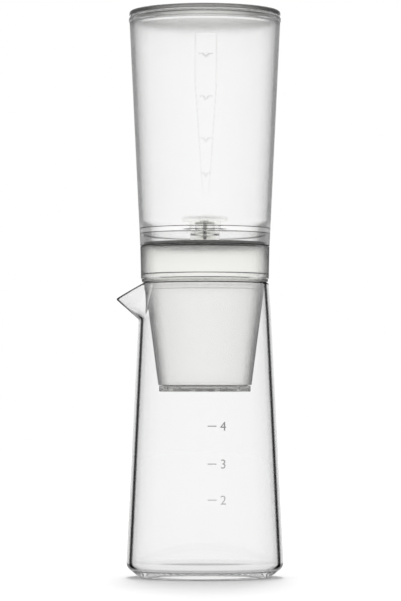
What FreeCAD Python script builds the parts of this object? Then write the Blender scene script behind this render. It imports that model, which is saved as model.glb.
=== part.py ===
"""Slow-drip cold brew coffee maker: lid, water tank with drip regulator, coffee basket, glass carafe.

Frame: origin at the centre of the carafe's foot, +Z up, the front faces -Y and the spout points to -X.
Every height is measured from the foot. Sizes live in the spreadsheet "Sizes", in millimetres.
"""

import FreeCAD, Part
import math
import os
from types import SimpleNamespace

import Sketcher

os.makedirs("parts", exist_ok=True)
doc = FreeCAD.newDocument("ColdBrewMaker")


# ---------------------------------------------------------------- driving dimensions

CARAFE_SIZES = (
    ("carafe_height", 173.8, "foot to rim"),
    ("carafe_base_radius", 46.8, "wall line carried down to the foot, before the heel is rounded"),
    ("carafe_rim_radius", 37.7, "outside of the rim"),
    ("carafe_neck_length", 19.8, "rim down to the place where the taper eases into the neck"),
    ("carafe_neck_flare", 0.75, "how much wider that place is than the rim"),
    ("carafe_heel_round", 8.2, "round between wall and foot"),
    ("carafe_inner_round", 5.0, "round between inside wall and floor"),
    ("glass_wall", 2.0, "wall of the glass"),
    ("glass_floor", 4.2, "floor of the glass"),
    ("glass_lip_chamfer", 0.8, "fire-polished edge of the rim"),
    ("spout_reach", 14.7, "rim to the tip of the spout"),
    ("spout_root_inset", 4.7, "rim in to the section where the spout starts"),
    ("spout_root_depth", 26.5, "rim down to the spout's underside at its root"),
    ("spout_tip_depth", 9.9, "rim down to the spout's underside at its tip"),
    ("spout_root_curve", 6.5, "radius of the root section's underside"),
    ("spout_root_half_width", 14.0, "half width of the root section at the lip"),
    ("spout_tip_curve", 2.5, "radius of the tip section's underside"),
    ("spout_tip_half_width", 3.3, "half width of the tip section at the lip"),
    ("spout_lip_inset", 2.8, "rim in to the place where the lip starts to dip"),
    ("spout_lip_drop", 8.7, "how far the lip falls from the rim to the tip"),
)
BASKET_SIZES = (
    ("basket_wall", 2.0, "wall of the cone"),
    ("basket_skirt_step", 0.8, "step in from the locating skirt to the cone"),
    ("basket_cone_foot_radius", 27.15, "outside of the cone at its foot"),
    ("basket_cone_length", 55.5, "cone, from its foot to the locating skirt"),
    ("basket_throat_ease", 0.2, "draft of the inside, from the cone's top to the shoulder's ledge"),
    ("basket_skirt_length", 4.2, "how far the locating skirt reaches below the carafe's rim"),
    ("basket_shoulder_inset", 0.4, "step in from the carafe's rim to the shoulder above it"),
    ("basket_shoulder_thickness", 3.8, "shoulder that hangs on the carafe"),
    ("basket_collar_flare", 0.9, "how much the collar widens up to its rim"),
    ("basket_collar_height", 20.0, "collar, from the shoulder's underside to its rim"),
    ("basket_collar_wall", 2.1, "wall of the collar at the shoulder"),
    ("top_spigot_step", 1.7, "step in from the collar's rim to the spigot inside the tank's skirt"),
    ("top_spigot_wall", 1.7, "wall of that spigot"),
    ("top_spigot_height", 1.0, "collar's rim to that spigot's top"),
    ("foot_spigot_length", 1.8, "spigot that goes into the bottom cap"),
    ("foot_spigot_step", 1.85, "step in from the cone's foot to that spigot"),
    ("foot_spigot_wall", 1.4, "wall of that spigot"),
    ("cap_wall", 1.7, "side wall of the bottom cap"),
    ("cap_floor", 1.5, "slotted floor of the bottom cap"),
    ("cap_draft", 0.45, "how much narrower the bottom cap's foot is than the cone's"),
    ("cap_slot_count", 10, "drain slots in the bottom cap"),
    ("cap_slot_width", 3.2, "width of a drain slot"),
    ("cap_slot_inner", 6.0, "axis to the near end of a drain slot"),
    ("cap_slot_margin", 3.3, "spigot in to the far end of a drain slot"),
    ("cap_port_count", 18, "drain holes in the side of the bottom cap"),
    ("cap_port_radius", 0.6, "radius of those holes"),
    ("mesh_thickness", 0.3, "woven filter"),
    ("mesh_rim_width", 1.2, "steel ring round the filter"),
    ("mesh_rim_height", 0.6, "height of that ring"),
    ("mesh_gasket_height", 0.8, "ring between filter and basket"),
    ("carafe_gasket_height", 1.2, "ring between shoulder and glass"),
    ("carafe_gasket_width", 1.5, "width of that ring"),
    ("plate_seal_height", 0.6, "ring under the shower plate"),
    ("plate_thickness", 0.7, "shower plate"),
    ("plate_inset", 0.2, "edge of the shower plate inside the spigot's outside"),
    ("plate_hole_radius", 0.9, "hole in the shower plate"),
    ("plate_hole_margin", 5.1, "edge of the plate in to the outermost ring of holes"),
    ("plate_ring_count", 6, "rings of holes"),
)
TANK_SIZES = (
    ("tank_wall", 2.2, "wall of the tank"),
    ("tank_top_radius", 44.65, "outside of the tank under its rim"),
    ("tank_foot_overhang", 0.05, "how far the tank's skirt stands out over the collar"),
    ("tank_floor", 2.5, "floor of the tank"),
    ("tank_length", 136.0, "skirt's edge to rim"),
    ("tank_rim_height", 3.2, "thick band at the rim"),
    ("tank_rim_thickness", 2.4, "wall of that band"),
    ("lid_thickness", 3.1, "top plate of the lid"),
    ("lid_overhang", 0.15, "how far the lid stands out over the tank"),
    ("lid_edge_round", 1.2, "round of the lid's top edge"),
    ("lid_dish_depth", 0.8, "shallow dish in the lid's top"),
    ("lid_dish_inset", 3.6, "edge of the lid to that dish"),
    ("lid_skirt_length", 4.0, "skirt inside the tank's rim"),
    ("lid_skirt_wall", 1.8, "wall of that skirt"),
    ("lid_gasket_height", 1.6, "ring in the skirt's groove"),
    ("lid_gasket_width", 1.0, "width of that ring"),
    ("lid_gasket_inset", 1.2, "underside of the lid to that ring"),
)
VALVE_SIZES = (
    ("knob_radius", 13.15, "ribbed disc of the knob"),
    ("knob_disc_height", 2.4, "height of that disc"),
    ("knob_drum_radius", 9.45, "ribbed drum below it"),
    ("knob_drum_height", 1.9, "height of that drum"),
    ("knob_rib_count", 40, "grooves round the disc"),
    ("knob_drum_rib_count", 28, "grooves round the drum"),
    ("knob_groove_radius", 0.45, "cutter that makes a groove"),
    ("knob_roof", 0.4, "skin over the needle"),
    ("knob_mark_width", 1.2, "pointer groove on top"),
    ("knob_mark_length", 5.0, "length of that groove"),
    ("knob_mark_depth", 0.3, "depth of that groove"),
    ("housing_gasket_height", 0.6, "washer under the housing's flange"),
    ("housing_flange_radius", 8.6, "flange on the tank's floor"),
    ("housing_flange_height", 1.6, "height of that flange"),
    ("housing_neck_radius", 5.0, "neck that the knob turns on"),
    ("housing_shank_radius", 5.9, "shank through the floor"),
    ("housing_shank_length", 3.6, "shank below the floor"),
    ("housing_bore_radius", 2.0, "bore for the needle"),
    ("housing_port_radius", 0.5, "water ports in the flange"),
    ("housing_port_count", 4, "number of water ports"),
    ("nut_thickness", 3.0, "lock nut"),
    ("nut_across_flats", 17.0, "spanner size of the lock nut"),
    ("clip_thickness", 0.6, "snap clip"),
    ("clip_groove_depth", 0.7, "groove in the neck"),
    ("clip_stand_out", 0.9, "how far the clip stands out of the neck"),
    ("clip_gap", 3.0, "mouth of the clip"),
    ("ring_thickness", 1.0, "section of the O-ring"),
    ("tip_radius", 3.55, "plug of the drip tip"),
    ("tip_plug_length", 2.4, "length of that plug"),
    ("tip_nozzle_length", 1.5, "nozzle below it"),
    ("tip_nozzle_root_radius", 2.2, "nozzle, at its root"),
    ("tip_nozzle_end_radius", 1.3, "nozzle, at its end"),
    ("tip_orifice_radius", 0.5, "orifice"),
    ("tip_seat_radius", 1.3, "mouth of the needle's seat"),
    ("tip_seat_depth", 1.4, "depth of that seat"),
    ("needle_waist_radius", 1.2, "needle below its guide"),
    ("needle_guide_length", 2.2, "guide and thread of the needle"),
    ("needle_lift", 1.2, "how far the needle rises"),
    ("needle_pin_length", 1.4, "fine pin that keeps the orifice clear"),
)
CLEARANCES = (
    ("seat_gap", 0.3, "between lift-off pieces, one on the other"),
    ("side_gap", 0.4, "round a piece that plugs into another"),
    ("running_gap", 0.08, "round a shaft in its hole"),
    ("needle_gap", 0.1, "between the closed needle and its seat"),
    ("tip_gap", 0.6, "drip tip above the shower plate"),
)


class Measure:
    """A size in millimetres with the spreadsheet formula that gives it."""

    def __init__(self, value, formula):
        self.value = float(value)
        self.formula = formula

    def joined(self, sign, other, value):
        return Measure(value, f"({self.formula} {sign} {as_measure(other).formula})")

    def __add__(self, other):
        return self.joined("+", other, self.value + as_measure(other).value)

    def __sub__(self, other):
        return self.joined("-", other, self.value - as_measure(other).value)

    def __mul__(self, other):
        return self.joined("*", other, self.value * as_measure(other).value)

    def __truediv__(self, other):
        return self.joined("/", other, self.value / as_measure(other).value)

    def __neg__(self):
        return Measure(-self.value, f"(0 - {self.formula})")


def as_measure(number):
    """A bare number as a Measure, so that both kinds mix in one sum."""
    if isinstance(number, Measure):
        return number
    return Measure(number, f"{float(number):.9f}")


def fill_sheet(rows):
    """Write the driving dimensions to the sheet and return them as named Measures."""
    sheet = doc.addObject("Spreadsheet::Sheet", "Sizes")
    sizes = SimpleNamespace()
    for row, (name, value, note) in enumerate(rows, start=1):
        sheet.set(f"A{row}", name)
        sheet.set(f"B{row}", str(value))
        sheet.set(f"C{row}", note)
        sheet.setAlias(f"B{row}", name)
        setattr(sizes, name, Measure(value, f"Sizes.{name}"))
    doc.recompute()
    return sizes


size = fill_sheet(CARAFE_SIZES + BASKET_SIZES + TANK_SIZES + VALVE_SIZES + CLEARANCES)


# ---------------------------------------------------------------- heights and radii that follow

def along(start, end, height):
    """Radius at a height on the straight line between two (radius, height) points."""
    (start_radius, start_height), (end_radius, end_height) = start, end
    slope = (end_radius - start_radius) / (end_height - start_height)
    return start_radius + slope * (height - start_height)


# Stack from the carafe's rim up to the lid.
rim_z = size.carafe_height
shoulder_z = rim_z + size.seat_gap + size.carafe_gasket_height
throat_z = shoulder_z + size.basket_shoulder_thickness
collar_z = shoulder_z + size.basket_collar_height
top_spigot_z = collar_z + size.top_spigot_height
seal_top_z = top_spigot_z + size.plate_seal_height
plate_top_z = seal_top_z + size.plate_thickness
skirt_z = collar_z + size.seat_gap
tip_z = plate_top_z + size.tip_gap
shank_z = tip_z + size.tip_nozzle_length
floor_under_z = shank_z + size.housing_shank_length
floor_z = floor_under_z + size.tank_floor
tank_top_z = skirt_z + size.tank_length
tank_band_z = tank_top_z - size.tank_rim_height
lid_z = tank_top_z + size.seat_gap

# Stack from the basket's skirt down to its bottom cap.
skirt_foot_z = rim_z - size.basket_skirt_length
cone_foot_z = skirt_foot_z - size.basket_cone_length
foot_spigot_z = cone_foot_z - size.foot_spigot_length
mesh_gasket_z = foot_spigot_z - size.mesh_gasket_height
cap_floor_z = mesh_gasket_z - size.mesh_rim_height
cap_z = cap_floor_z - size.cap_floor
cap_top_z = cone_foot_z - size.seat_gap

# Drip regulator, upwards from the tank's floor.
flange_z = floor_z + size.housing_gasket_height
neck_z = flange_z + size.housing_flange_height
drum_z = neck_z + size.seat_gap
disc_z = drum_z + size.knob_drum_height
knob_top_z = disc_z + size.knob_disc_height
neck_top_z = disc_z - size.running_gap
tip_seat_z = shank_z + size.tip_plug_length
needle_top_z = knob_top_z - size.knob_roof - size.needle_lift - size.needle_gap
guide_z = needle_top_z - size.needle_guide_length

# Radii, from the carafe's rim in to the basket and out again to the tank and the lid.
neck_radius = size.carafe_rim_radius + size.carafe_neck_flare
neck_foot_z = rim_z - size.carafe_neck_length
skirt_radius = size.carafe_rim_radius - size.glass_wall - size.side_gap
cone_top_radius = skirt_radius - size.basket_skirt_step
shoulder_radius = size.carafe_rim_radius - size.basket_shoulder_inset
collar_radius = shoulder_radius + size.basket_collar_flare
top_spigot_radius = collar_radius - size.top_spigot_step
foot_spigot_radius = size.basket_cone_foot_radius - size.foot_spigot_step
plate_radius = top_spigot_radius - size.plate_inset
tank_foot_radius = collar_radius + size.tank_foot_overhang
lid_radius = size.tank_top_radius + size.lid_overhang
lid_skirt_radius = size.tank_top_radius - size.tank_rim_thickness - size.side_gap


# ---------------------------------------------------------------- modelling helpers

def new_body(label):
    """Empty body whose label names the piece and its file."""
    body = doc.addObject("PartDesign::Body", label)
    body.Label = label
    body.Placement = FreeCAD.Placement()
    return body


def sketch_on(body, name, role, offset=None):
    """Sketch on one of the body's own origin planes, moved along that plane's normal."""
    sketch = body.newObject("Sketcher::SketchObject", name)
    plane = next(item for item in body.Origin.OriginFeatures if item.Role == role)
    sketch.AttachmentSupport = [(plane, "")]
    sketch.MapMode = "FlatFace"
    if offset is not None:
        sketch.setExpression("AttachmentOffset.Base.z", offset.formula)
    return sketch


def bind(sketch, constraint, size_text):
    """Add a constraint whose value follows the sheet."""
    index = sketch.addConstraint(constraint)
    sketch.setExpression(f"Constraints[{index}]", size_text)


def pin_point(sketch, geometry, end, across, up):
    """Hold one point of the sketch at its coordinates. None leaves a coordinate free."""
    for kind, axis, distance in (("DistanceX", -2, across), ("DistanceY", -1, up)):
        if distance is None:
            continue
        distance = as_measure(distance)
        if distance.value == 0:
            sketch.addConstraint(Sketcher.Constraint("PointOnObject", geometry, end, axis))
        else:
            rule = Sketcher.Constraint(kind, -1, 1, geometry, end, distance.value)
            bind(sketch, rule, distance.formula)


def outline(sketch, corners):
    """Closed outline of straight runs through the corners."""
    points = []
    for across, up in corners:
        points.append(FreeCAD.Vector(as_measure(across).value, as_measure(up).value, 0))
    first = sketch.GeometryCount
    for index, point in enumerate(points):
        sketch.addGeometry(Part.LineSegment(point, points[(index + 1) % len(points)]))
    for index in range(len(points)):
        following = first + (index + 1) % len(points)
        sketch.addConstraint(Sketcher.Constraint("Coincident", first + index, 2, following, 1))
    for index, (across, up) in enumerate(corners):
        pin_point(sketch, first + index, 1, across, up)


def circle(sketch, across, up, radius):
    """Circle at a centre, with a radius that follows the sheet."""
    centre = FreeCAD.Vector(as_measure(across).value, as_measure(up).value, 0)
    geometry = sketch.addGeometry(Part.Circle(centre, FreeCAD.Vector(0, 0, 1), radius.value))
    bind(sketch, Sketcher.Constraint("Radius", geometry, radius.value), radius.formula)
    pin_point(sketch, geometry, 3, across, up)


def turn(body, name, corners, kind="PartDesign::Revolution"):
    """Outline of (radius, height) corners turned once round the axis, added or cut."""
    sketch = sketch_on(body, f"{name}_profile", "XZ_Plane")
    outline(sketch, corners)
    feature = body.newObject(kind, name)
    feature.Profile = sketch
    feature.ReferenceAxis = (sketch, ["V_Axis"])
    feature.Angle = 360
    doc.recompute()
    return feature


def turned_body(label, corners):
    """Piece that is one turned outline."""
    body = new_body(label)
    turn(body, f"{label}_turn", corners)
    return body


def ring_body(label, inner, outer, bottom, top):
    """Flat ring of rectangular section."""
    return turned_body(label, [(inner, bottom), (outer, bottom), (outer, top), (inner, top)])


def round_rings(body, name, radius, rings):
    """Fillet the circular edges that lie at the given (radius, height) places."""
    base = body.Tip
    edges = []
    for number, edge in enumerate(base.Shape.Edges, start=1):
        if not isinstance(edge.Curve, Part.Circle):
            continue
        for ring_radius, ring_height in rings:
            off_radius = abs(edge.Curve.Radius - ring_radius.value)
            off_height = abs(edge.Curve.Center.z - as_measure(ring_height).value)
            if off_radius < 0.01 and off_height < 0.01:
                edges.append(f"Edge{number}")
    feature = body.newObject("PartDesign::Fillet", name)
    feature.Base = (base, edges)
    feature.setExpression("Radius", radius.formula)
    doc.recompute()


def cut_all_round(body, name, sketch, count, axis_name, depth=None):
    """Pocket a sketch and repeat it round the axis. With no depth it cuts right through."""
    before = body.Tip.Shape.Volume
    pocket = body.newObject("PartDesign::Pocket", name)
    pocket.Profile = sketch
    if depth is None:
        pocket.Type = "ThroughAll"
        pocket.Midplane = axis_name == "N_Axis"
    else:
        pocket.setExpression("Length", depth.formula)
    doc.recompute()
    if pocket.Shape.Volume >= before:
        raise RuntimeError(f"{name} removes nothing")
    if count is not None:
        repeat_round(body, pocket, sketch, count, axis_name)


def repeat_round(body, feature, sketch, count, axis_name):
    """Polar pattern of a feature about the piece's own axis."""
    pattern = body.newObject("PartDesign::PolarPattern", f"{feature.Name}_round")
    pattern.Originals = [feature]
    pattern.Axis = (sketch, [axis_name])
    pattern.Angle = 360
    pattern.setExpression("Occurrences", count.formula)
    body.Tip = pattern
    doc.recompute()


# ---------------------------------------------------------------- glass carafe

def spout_section(body, name, distance, bottom, curve, half_width, top):
    """U-shaped section of the spout: a half circle below, two flaring sides and a flat top."""
    sketch = sketch_on(body, name, "YZ_Plane", offset=-distance)
    centre_height = bottom + curve
    centre = FreeCAD.Vector(0, centre_height.value, 0)
    full = Part.Circle(centre, FreeCAD.Vector(0, 0, 1), curve.value)
    arc = sketch.addGeometry(Part.ArcOfCircle(full, math.pi, 2 * math.pi))
    left = FreeCAD.Vector(-curve.value, centre_height.value, 0)
    right = FreeCAD.Vector(curve.value, centre_height.value, 0)
    top_left = FreeCAD.Vector(-half_width.value, top.value, 0)
    top_right = FreeCAD.Vector(half_width.value, top.value, 0)
    right_side = sketch.addGeometry(Part.LineSegment(right, top_right))
    roof = sketch.addGeometry(Part.LineSegment(top_right, top_left))
    left_side = sketch.addGeometry(Part.LineSegment(top_left, left))
    sketch.addConstraint(Sketcher.Constraint("Coincident", arc, 2, right_side, 1))
    sketch.addConstraint(Sketcher.Constraint("Coincident", right_side, 2, roof, 1))
    sketch.addConstraint(Sketcher.Constraint("Coincident", roof, 2, left_side, 1))
    sketch.addConstraint(Sketcher.Constraint("Coincident", left_side, 2, arc, 1))
    pin_point(sketch, arc, 3, None, centre_height)
    pin_point(sketch, arc, 1, -curve, centre_height)
    pin_point(sketch, arc, 2, curve, centre_height)
    pin_point(sketch, roof, 1, half_width, top)
    pin_point(sketch, roof, 2, -half_width, top)
    return sketch


def spout_loft(body, name, kind, inset):
    """The spout's body, or with an inset of one wall the channel inside it."""
    roof = rim_z + size.glass_wall * 3
    root = spout_section(
        body,
        f"{name}_root",
        size.carafe_rim_radius - size.spout_root_inset - inset * 2,
        rim_z - size.spout_root_depth + inset,
        size.spout_root_curve - inset,
        size.spout_root_half_width - inset,
        roof,
    )
    tip = spout_section(
        body,
        f"{name}_tip",
        size.carafe_rim_radius + size.spout_reach,
        rim_z - size.spout_tip_depth + inset,
        size.spout_tip_curve - inset,
        size.spout_tip_half_width - inset,
        roof,
    )
    loft = body.newObject(kind, name)
    loft.Profile = root
    loft.Sections = [tip]
    loft.Ruled = True
    doc.recompute()


def glass_carafe():
    """Carafe: turned shell with a rounded heel, and a spout that is drawn out of the rim."""
    body = new_body("glass_carafe")
    foot = (size.carafe_base_radius, as_measure(0))
    neck = (neck_radius, neck_foot_z)
    rim = (size.carafe_rim_radius, rim_z)
    lip = size.glass_lip_chamfer
    outer_lip_z = rim_z - lip
    turn(
        body,
        "carafe_outside",
        [
            (0, 0),
            foot,
            neck,
            (along(neck, rim, outer_lip_z), outer_lip_z),
            (size.carafe_rim_radius - lip, rim_z),
            (0, rim_z),
        ],
    )
    round_rings(body, "carafe_heel", size.carafe_heel_round, [foot])
    spout_loft(body, "spout_body", "PartDesign::AdditiveLoft", as_measure(0))

    inner_floor = (along(foot, neck, size.glass_floor) - size.glass_wall, size.glass_floor)
    inner_neck = (neck_radius - size.glass_wall, neck_foot_z)
    inner_rim = (size.carafe_rim_radius - size.glass_wall, rim_z)
    above_z = rim_z + size.glass_wall * 4
    turn(
        body,
        "carafe_inside",
        [
            (0, size.glass_floor),
            inner_floor,
            inner_neck,
            (along(inner_neck, inner_rim, outer_lip_z), outer_lip_z),
            (inner_rim[0] + lip, rim_z),
            (inner_rim[0] + lip, above_z),
            (0, above_z),
        ],
        kind="PartDesign::Groove",
    )
    round_rings(body, "carafe_inner_heel", size.carafe_inner_round, [inner_floor])
    spout_loft(body, "spout_channel", "PartDesign::SubtractiveLoft", size.glass_wall * 0.9)

    lip_cut = sketch_on(body, "spout_lip_line", "XZ_Plane")
    slope = size.spout_lip_drop / (size.spout_reach + size.spout_lip_inset)
    lip_start = size.carafe_rim_radius - size.spout_lip_inset
    beyond = size.carafe_rim_radius + size.spout_reach + size.glass_wall * 5
    low_z = rim_z - slope * (beyond - lip_start)
    outline(
        lip_cut,
        [
            (0, rim_z),
            (-lip_start, rim_z),
            (-beyond, low_z),
            (-beyond, above_z),
            (0, above_z),
        ],
    )
    before = body.Tip.Shape.Volume
    lip_pocket = body.newObject("PartDesign::Pocket", "spout_lip")
    lip_pocket.Profile = lip_cut
    lip_pocket.Type = "ThroughAll"
    lip_pocket.Midplane = True
    doc.recompute()
    if lip_pocket.Shape.Volume >= before:
        raise RuntimeError("spout_lip removes nothing")
    return body


# ---------------------------------------------------------------- coffee basket

def coffee_basket():
    """Cone, locating skirt, shoulder, collar and the two spigots, moulded in one."""
    wall = size.basket_wall
    throat_radius = cone_top_radius - wall + size.basket_throat_ease
    return turned_body(
        "coffee_basket",
        [
            (foot_spigot_radius - size.foot_spigot_wall, foot_spigot_z),
            (foot_spigot_radius, foot_spigot_z),
            (foot_spigot_radius, cone_foot_z),
            (size.basket_cone_foot_radius, cone_foot_z),
            (cone_top_radius, skirt_foot_z),
            (skirt_radius, skirt_foot_z),
            (skirt_radius, shoulder_z),
            (shoulder_radius, shoulder_z),
            (collar_radius, collar_z),
            (top_spigot_radius, collar_z),
            (top_spigot_radius, top_spigot_z),
            (top_spigot_radius - size.top_spigot_wall, top_spigot_z),
            (shoulder_radius - size.basket_collar_wall, throat_z),
            (throat_radius, throat_z),
            (cone_top_radius - wall, skirt_foot_z),
            (size.basket_cone_foot_radius - wall, cone_foot_z),
        ],
    )


def basket_bottom_cap():
    """Snap-on cap with a slotted floor and small drain holes in its side."""
    inner = foot_spigot_radius + size.running_gap
    top_radius = inner + size.cap_wall
    body = turned_body(
        "basket_bottom_cap",
        [
            (0, cap_z),
            (size.basket_cone_foot_radius - size.cap_draft, cap_z),
            (top_radius, cap_top_z),
            (inner, cap_top_z),
            (inner, cap_floor_z),
            (0, cap_floor_z),
        ],
    )
    slot = sketch_on(body, "cap_slot_outline", "XY_Plane")
    half = size.cap_slot_width / 2
    far = foot_spigot_radius - size.cap_slot_margin
    near = size.cap_slot_inner
    outline(slot, [(near, -half * 0.5), (far, -half), (far, half), (near, half * 0.5)])
    cut_all_round(body, "cap_slot", slot, size.cap_slot_count, "N_Axis")
    port = sketch_on(body, "cap_port_outline", "XZ_Plane")
    circle(port, 0, cap_top_z - size.cap_port_radius * 3, size.cap_port_radius)
    cut_all_round(body, "cap_port", port, size.cap_port_count, "V_Axis")
    return body


def filter_pieces():
    """Woven disc, its steel rim and the gasket that the basket presses on them."""
    rim_outer = foot_spigot_radius - size.running_gap
    rim_inner = rim_outer - size.mesh_rim_width
    mesh_z = cap_floor_z + (size.mesh_rim_height - size.mesh_thickness) / 2
    mesh_top_z = mesh_z + size.mesh_thickness
    mesh = turned_body(
        "filter_mesh",
        [(0, mesh_z), (rim_inner, mesh_z), (rim_inner, mesh_top_z), (0, mesh_top_z)],
    )
    rim = ring_body("mesh_rim", rim_inner, rim_outer, cap_floor_z, mesh_gasket_z)
    gasket = ring_body("mesh_gasket", rim_inner, rim_outer, mesh_gasket_z, foot_spigot_z)
    return [mesh, rim, gasket]


def carafe_gasket():
    """Silicone ring round the locating skirt, under the shoulder."""
    outer = skirt_radius + size.carafe_gasket_width
    return ring_body("carafe_gasket", skirt_radius, outer, rim_z + size.seat_gap, shoulder_z)


def plate_seal():
    """Silicone ring on top of the basket's spigot."""
    inner = top_spigot_radius - size.top_spigot_wall
    return ring_body("plate_seal", inner, top_spigot_radius, top_spigot_z, seal_top_z)


def shower_plate():
    """Perforated steel disc with rings of holes round one in the middle."""
    body = turned_body(
        "shower_plate",
        [(0, seal_top_z), (plate_radius, seal_top_z), (plate_radius, plate_top_z), (0, plate_top_z)],
    )
    ring_step = (plate_radius - size.plate_hole_margin) / size.plate_ring_count
    middle = sketch_on(body, "plate_middle_hole", "XY_Plane")
    circle(middle, 0, 0, size.plate_hole_radius)
    cut_all_round(body, "plate_middle", middle, None, "N_Axis")
    for ring in range(1, round(size.plate_ring_count.value) + 1):
        hole = sketch_on(body, f"plate_hole_{ring}", "XY_Plane")
        circle(hole, ring_step * ring, 0, size.plate_hole_radius)
        cut_all_round(body, f"plate_ring_{ring}", hole, as_measure(6 * ring), "N_Axis")
    return body


# ---------------------------------------------------------------- water tank and lid

tank_foot = (tank_foot_radius, skirt_z)
tank_top = (size.tank_top_radius, tank_band_z)


def water_tank():
    """Tapered tank with a thick rim, a floor with the valve's hole, and a skirt over the basket."""
    skirt_inner = top_spigot_radius + size.seat_gap
    hole = size.housing_shank_radius + size.running_gap
    rim_inner = size.tank_top_radius - size.tank_rim_thickness
    inner_foot = (along(tank_foot, tank_top, floor_z) - size.tank_wall, floor_z)
    inner_top = (size.tank_top_radius - size.tank_wall, tank_band_z - size.tank_wall)
    return turned_body(
        "water_tank",
        [
            (hole, floor_under_z),
            (skirt_inner, floor_under_z),
            (skirt_inner, skirt_z),
            tank_foot,
            tank_top,
            (size.tank_top_radius, tank_top_z),
            (rim_inner, tank_top_z),
            (rim_inner, tank_band_z),
            inner_top,
            inner_foot,
            (hole, floor_z),
        ],
    )


def lid():
    """Lid: a thick plate with a shallow dish and a grooved skirt."""
    outer = lid_skirt_radius
    inner = outer - size.lid_skirt_wall
    groove = outer - size.lid_gasket_width + size.running_gap
    groove_top = lid_z - size.lid_gasket_inset
    top_z = lid_z + size.lid_thickness
    dish = lid_radius - size.lid_dish_inset
    body = turned_body(
        "lid",
        [
            (0, lid_z),
            (inner, lid_z),
            (inner, lid_z - size.lid_skirt_length),
            (outer, lid_z - size.lid_skirt_length),
            (outer, groove_top - size.lid_gasket_height),
            (groove, groove_top - size.lid_gasket_height),
            (groove, groove_top),
            (outer, groove_top),
            (outer, lid_z),
            (lid_radius, lid_z),
            (lid_radius, top_z),
            (dish, top_z),
            (dish - size.lid_dish_depth, top_z - size.lid_dish_depth),
            (0, top_z - size.lid_dish_depth),
        ],
    )
    round_rings(body, "lid_edge", size.lid_edge_round, [(lid_radius, top_z)])
    return body


def lid_gasket():
    """Silicone ring in the lid's groove."""
    outer = lid_skirt_radius + size.running_gap
    top = lid_z - size.lid_gasket_inset
    return ring_body("lid_gasket", outer - size.lid_gasket_width, outer, top - size.lid_gasket_height, top)


# ---------------------------------------------------------------- drip regulator

clip_z = drum_z + size.knob_drum_height * 0.25
clip_groove_radius = size.housing_neck_radius - size.clip_groove_depth
clip_outer_radius = size.housing_neck_radius + size.clip_stand_out


def valve_housing():
    """Housing: neck, flange and shank with a stepped bore, an O-ring groove and water ports."""
    bore = size.housing_bore_radius
    groove = bore + size.ring_thickness + size.running_gap
    groove_z = drum_z + size.running_gap
    groove_top_z = groove_z + size.ring_thickness + size.running_gap * 2
    tip_bore = size.tip_radius + size.running_gap
    clip_low = clip_z - size.running_gap
    clip_high = clip_z + size.clip_thickness + size.running_gap
    body = turned_body(
        "valve_housing",
        [
            (tip_bore, shank_z),
            (size.housing_shank_radius, shank_z),
            (size.housing_shank_radius, flange_z),
            (size.housing_flange_radius, flange_z),
            (size.housing_flange_radius, neck_z),
            (size.housing_neck_radius, neck_z),
            (size.housing_neck_radius, clip_low),
            (clip_groove_radius, clip_low),
            (clip_groove_radius, clip_high),
            (size.housing_neck_radius, clip_high),
            (size.housing_neck_radius, neck_top_z),
            (bore, neck_top_z),
            (bore, groove_top_z),
            (groove, groove_top_z),
            (groove, groove_z),
            (bore, groove_z),
            (bore, tip_seat_z),
            (tip_bore, tip_seat_z),
        ],
    )
    port = sketch_on(body, "housing_port_outline", "XZ_Plane")
    circle(port, 0, flange_z + size.housing_flange_height / 2, size.housing_port_radius)
    cut_all_round(body, "housing_port", port, size.housing_port_count, "V_Axis")
    return body


def stem_o_ring():
    """O-ring round the needle, made as a torus."""
    middle_radius = size.housing_bore_radius + size.ring_thickness / 2 + size.running_gap / 2
    middle_z = drum_z + size.running_gap * 2 + size.ring_thickness / 2
    ring = doc.addObject("Part::Torus", "stem_o_ring")
    ring.Label = "stem_o_ring"
    ring.setExpression("Radius1", middle_radius.formula)
    ring.setExpression("Radius2", (size.ring_thickness / 2).formula)
    ring.setExpression("Placement.Base.z", middle_z.formula)
    return ring


def housing_gasket():
    """Washer between the housing's flange and the tank's floor."""
    inner = size.housing_shank_radius + size.running_gap
    return ring_body("housing_gasket", inner, size.housing_flange_radius, floor_z, flange_z)


def lock_nut():
    """Hexagon nut against the underside of the tank's floor."""
    body = new_body("lock_nut")
    sketch = sketch_on(body, "nut_outline", "XY_Plane", offset=floor_under_z - size.nut_thickness)
    corner_radius = size.nut_across_flats / (2 * math.cos(math.radians(30)))
    corners = []
    for step in range(6):
        angle = math.radians(60 * step + 30)
        corners.append((corner_radius * math.cos(angle), corner_radius * math.sin(angle)))
    outline(sketch, corners)
    circle(sketch, 0, 0, size.housing_shank_radius + size.running_gap)
    pad = body.newObject("PartDesign::Pad", "nut_pad")
    pad.Profile = sketch
    pad.setExpression("Length", size.nut_thickness.formula)
    doc.recompute()
    return body


def drip_tip():
    """Nozzle with the needle's conical seat and the orifice below it."""
    return turned_body(
        "drip_tip",
        [
            (size.tip_orifice_radius, tip_z),
            (size.tip_nozzle_end_radius, tip_z),
            (size.tip_nozzle_root_radius, shank_z),
            (size.tip_radius, shank_z),
            (size.tip_radius, tip_seat_z),
            (size.tip_seat_radius, tip_seat_z),
            (size.tip_orifice_radius, tip_seat_z - size.tip_seat_depth),
        ],
    )


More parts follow.
